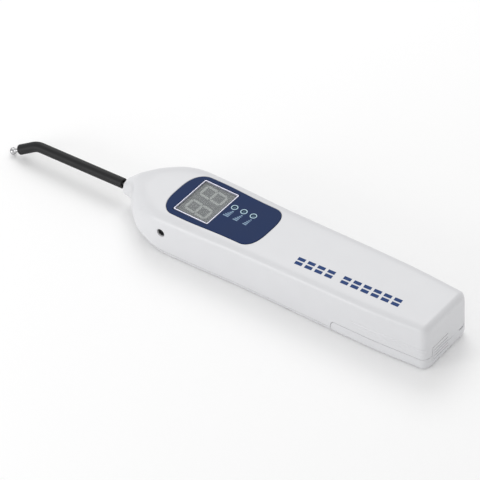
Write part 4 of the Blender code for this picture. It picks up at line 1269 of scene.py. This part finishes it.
def tact_switch():
    """The switch behind the button: a square body with a round plunger towards the cap."""
    low, high = mm_box("tact_switch")
    middle_x = (low.x + high.x) / 2
    middle_z = (low.z + high.z) / 2
    body = box_mesh((low.x, low.y + PLUNGER_LENGTH, low.z), high, bevel=0.2, segments=4)
    add_piece("switch_body", body, BLACK, "housing", ["tact_switch"])
    plunger = [(low.y, PLUNGER_RADIUS - 0.2), (low.y + 0.15, PLUNGER_RADIUS)]
    plunger.append((low.y + PLUNGER_LENGTH + 0.1, PLUNGER_RADIUS))
    plunger = turned_mesh(plunger, (middle_x, 0, middle_z), "Y")
    add_piece("switch_plunger", plunger, BUTTON_BLUE, "housing")


def collet():
    """The turning contact that grips the probe: a sprung tube with chamfered ends and two crossed slits."""
    low, high = COLLET_LOW, COLLET_HIGH
    outer = (high.z - low.z) / 2
    inner = PIN_RADIUS + 0.15
    tube = [(low.x, inner), (low.x, outer - 0.12), (low.x + 0.15, outer), (high.x - 0.15, outer)]
    tube += [(high.x, outer - 0.12), (high.x, inner)]
    tube = turned_mesh(tube + tube[:1], (0, 0, PROBE_Z), "X")
    slits = []
    through = 3 * outer
    for wide, tall in ((through, COLLET_SLIT_WIDTH), (COLLET_SLIT_WIDTH, through)):
        slit_low = (high.x - COLLET_SLIT_LENGTH, -wide / 2, PROBE_Z - tall / 2)
        slit_high = (high.x + 1, wide / 2, PROBE_Z + tall / 2)
        slits.append(("DIFFERENCE", box_mesh(slit_low, slit_high)))
    add_piece("slit_collet", combine(tube, slits), STEEL, "collet", ["contact_collet"])


# Studio ---------------------------------------------------------------------------------------------------

CAMERA_AZIMUTH = math.radians(219.446)
CAMERA_ELEVATION = math.radians(41.287)
CAMERA_ROLL = math.radians(3.208)
CAMERA_DISTANCE = 1359.57
CAMERA_AIM = (-16.78, 15.019)  # how far right and up of the origin the camera's axis passes
SENSOR = 36.0
CAMERA_LENS = 252.80


def add_camera():
    back = Vector((
        math.sin(CAMERA_AZIMUTH) * math.cos(CAMERA_ELEVATION),
        -math.cos(CAMERA_AZIMUTH) * math.cos(CAMERA_ELEVATION),
        math.sin(CAMERA_ELEVATION),
    ))
    right = Vector((math.cos(CAMERA_AZIMUTH), math.sin(CAMERA_AZIMUTH), 0.0))
    up = back.cross(right)
    place = (back * CAMERA_DISTANCE + right * CAMERA_AIM[0] + up * CAMERA_AIM[1]) * MM
    rolled_right = right * math.cos(CAMERA_ROLL) - up * math.sin(CAMERA_ROLL)
    rolled_up = right * math.sin(CAMERA_ROLL) + up * math.cos(CAMERA_ROLL)
    data = bpy.data.cameras.new("camera")
    data.sensor_width = SENSOR
    data.lens = CAMERA_LENS
    data.clip_start = 0.01
    data.clip_end = 20.0
    camera = bpy.data.objects.new("camera", data)
    turn = Matrix((rolled_right, rolled_up, back)).transposed()
    camera.matrix_world = Matrix.Translation(place) @ turn.to_4x4()
    bpy.context.scene.collection.objects.link(camera)
    bpy.context.scene.camera = camera


def add_area_light(name, place, size, power):
    """A square soft light that faces the middle of the object."""
    data = bpy.data.lights.new(name, "AREA")
    data.size = size
    data.energy = power
    light = bpy.data.objects.new(name, data)
    light.location = place
    light.rotation_mode = "QUATERNION"
    light.rotation_quaternion = (Vector((0, 0, 0.01)) - Vector(place)).to_track_quat("-Z", "Y")
    bpy.context.scene.collection.objects.link(light)


def add_studio():
    floor_mesh = rings_mesh([[(x, y, z) for x, y in rounded_rectangle((-4000, -4000), (4000, 4000), 900)]
                             for z in (-20.0, 0.0)])
    mesh = new_mesh("floor", floor_mesh)
    pale = finish("pale_floor", (0.98, 0.98, 0.98), 0.8, mottle=0.004, mottle_size=60.0, grain=3.0,
                  grain_depth=0.002)
    mesh.materials.append(pale)
    floor = bpy.data.objects.new("floor", mesh)
    bpy.context.scene.collection.objects.link(floor)

    world = bpy.data.worlds.new("studio")
    bpy.context.scene.world = world
    world.use_nodes = True
    world.node_tree.nodes["Background"].inputs["Color"].default_value = (1.0, 1.0, 1.0, 1.0)
    world.node_tree.nodes["Background"].inputs["Strength"].default_value = 0.745
    add_area_light("key_softbox", (0.40, -0.50, 0.75), 0.6, 2.6)
    add_area_light("nose_fill", (0.30, 0.60, 0.17), 0.3, 1.3)
    bpy.context.scene.view_settings.view_transform = "Standard"


dress_cad_nodes()
top_shell()
bottom_shell()
battery_cover()
display_panel()
window()
digits()
lights()
blue_mark()
jack()
push_button()
probe()
screws()
battery()
board()
microcontroller()
transformer()
transistor()
capacitor()
buzzer()
tact_switch()
collet()
add_camera()
add_studio()
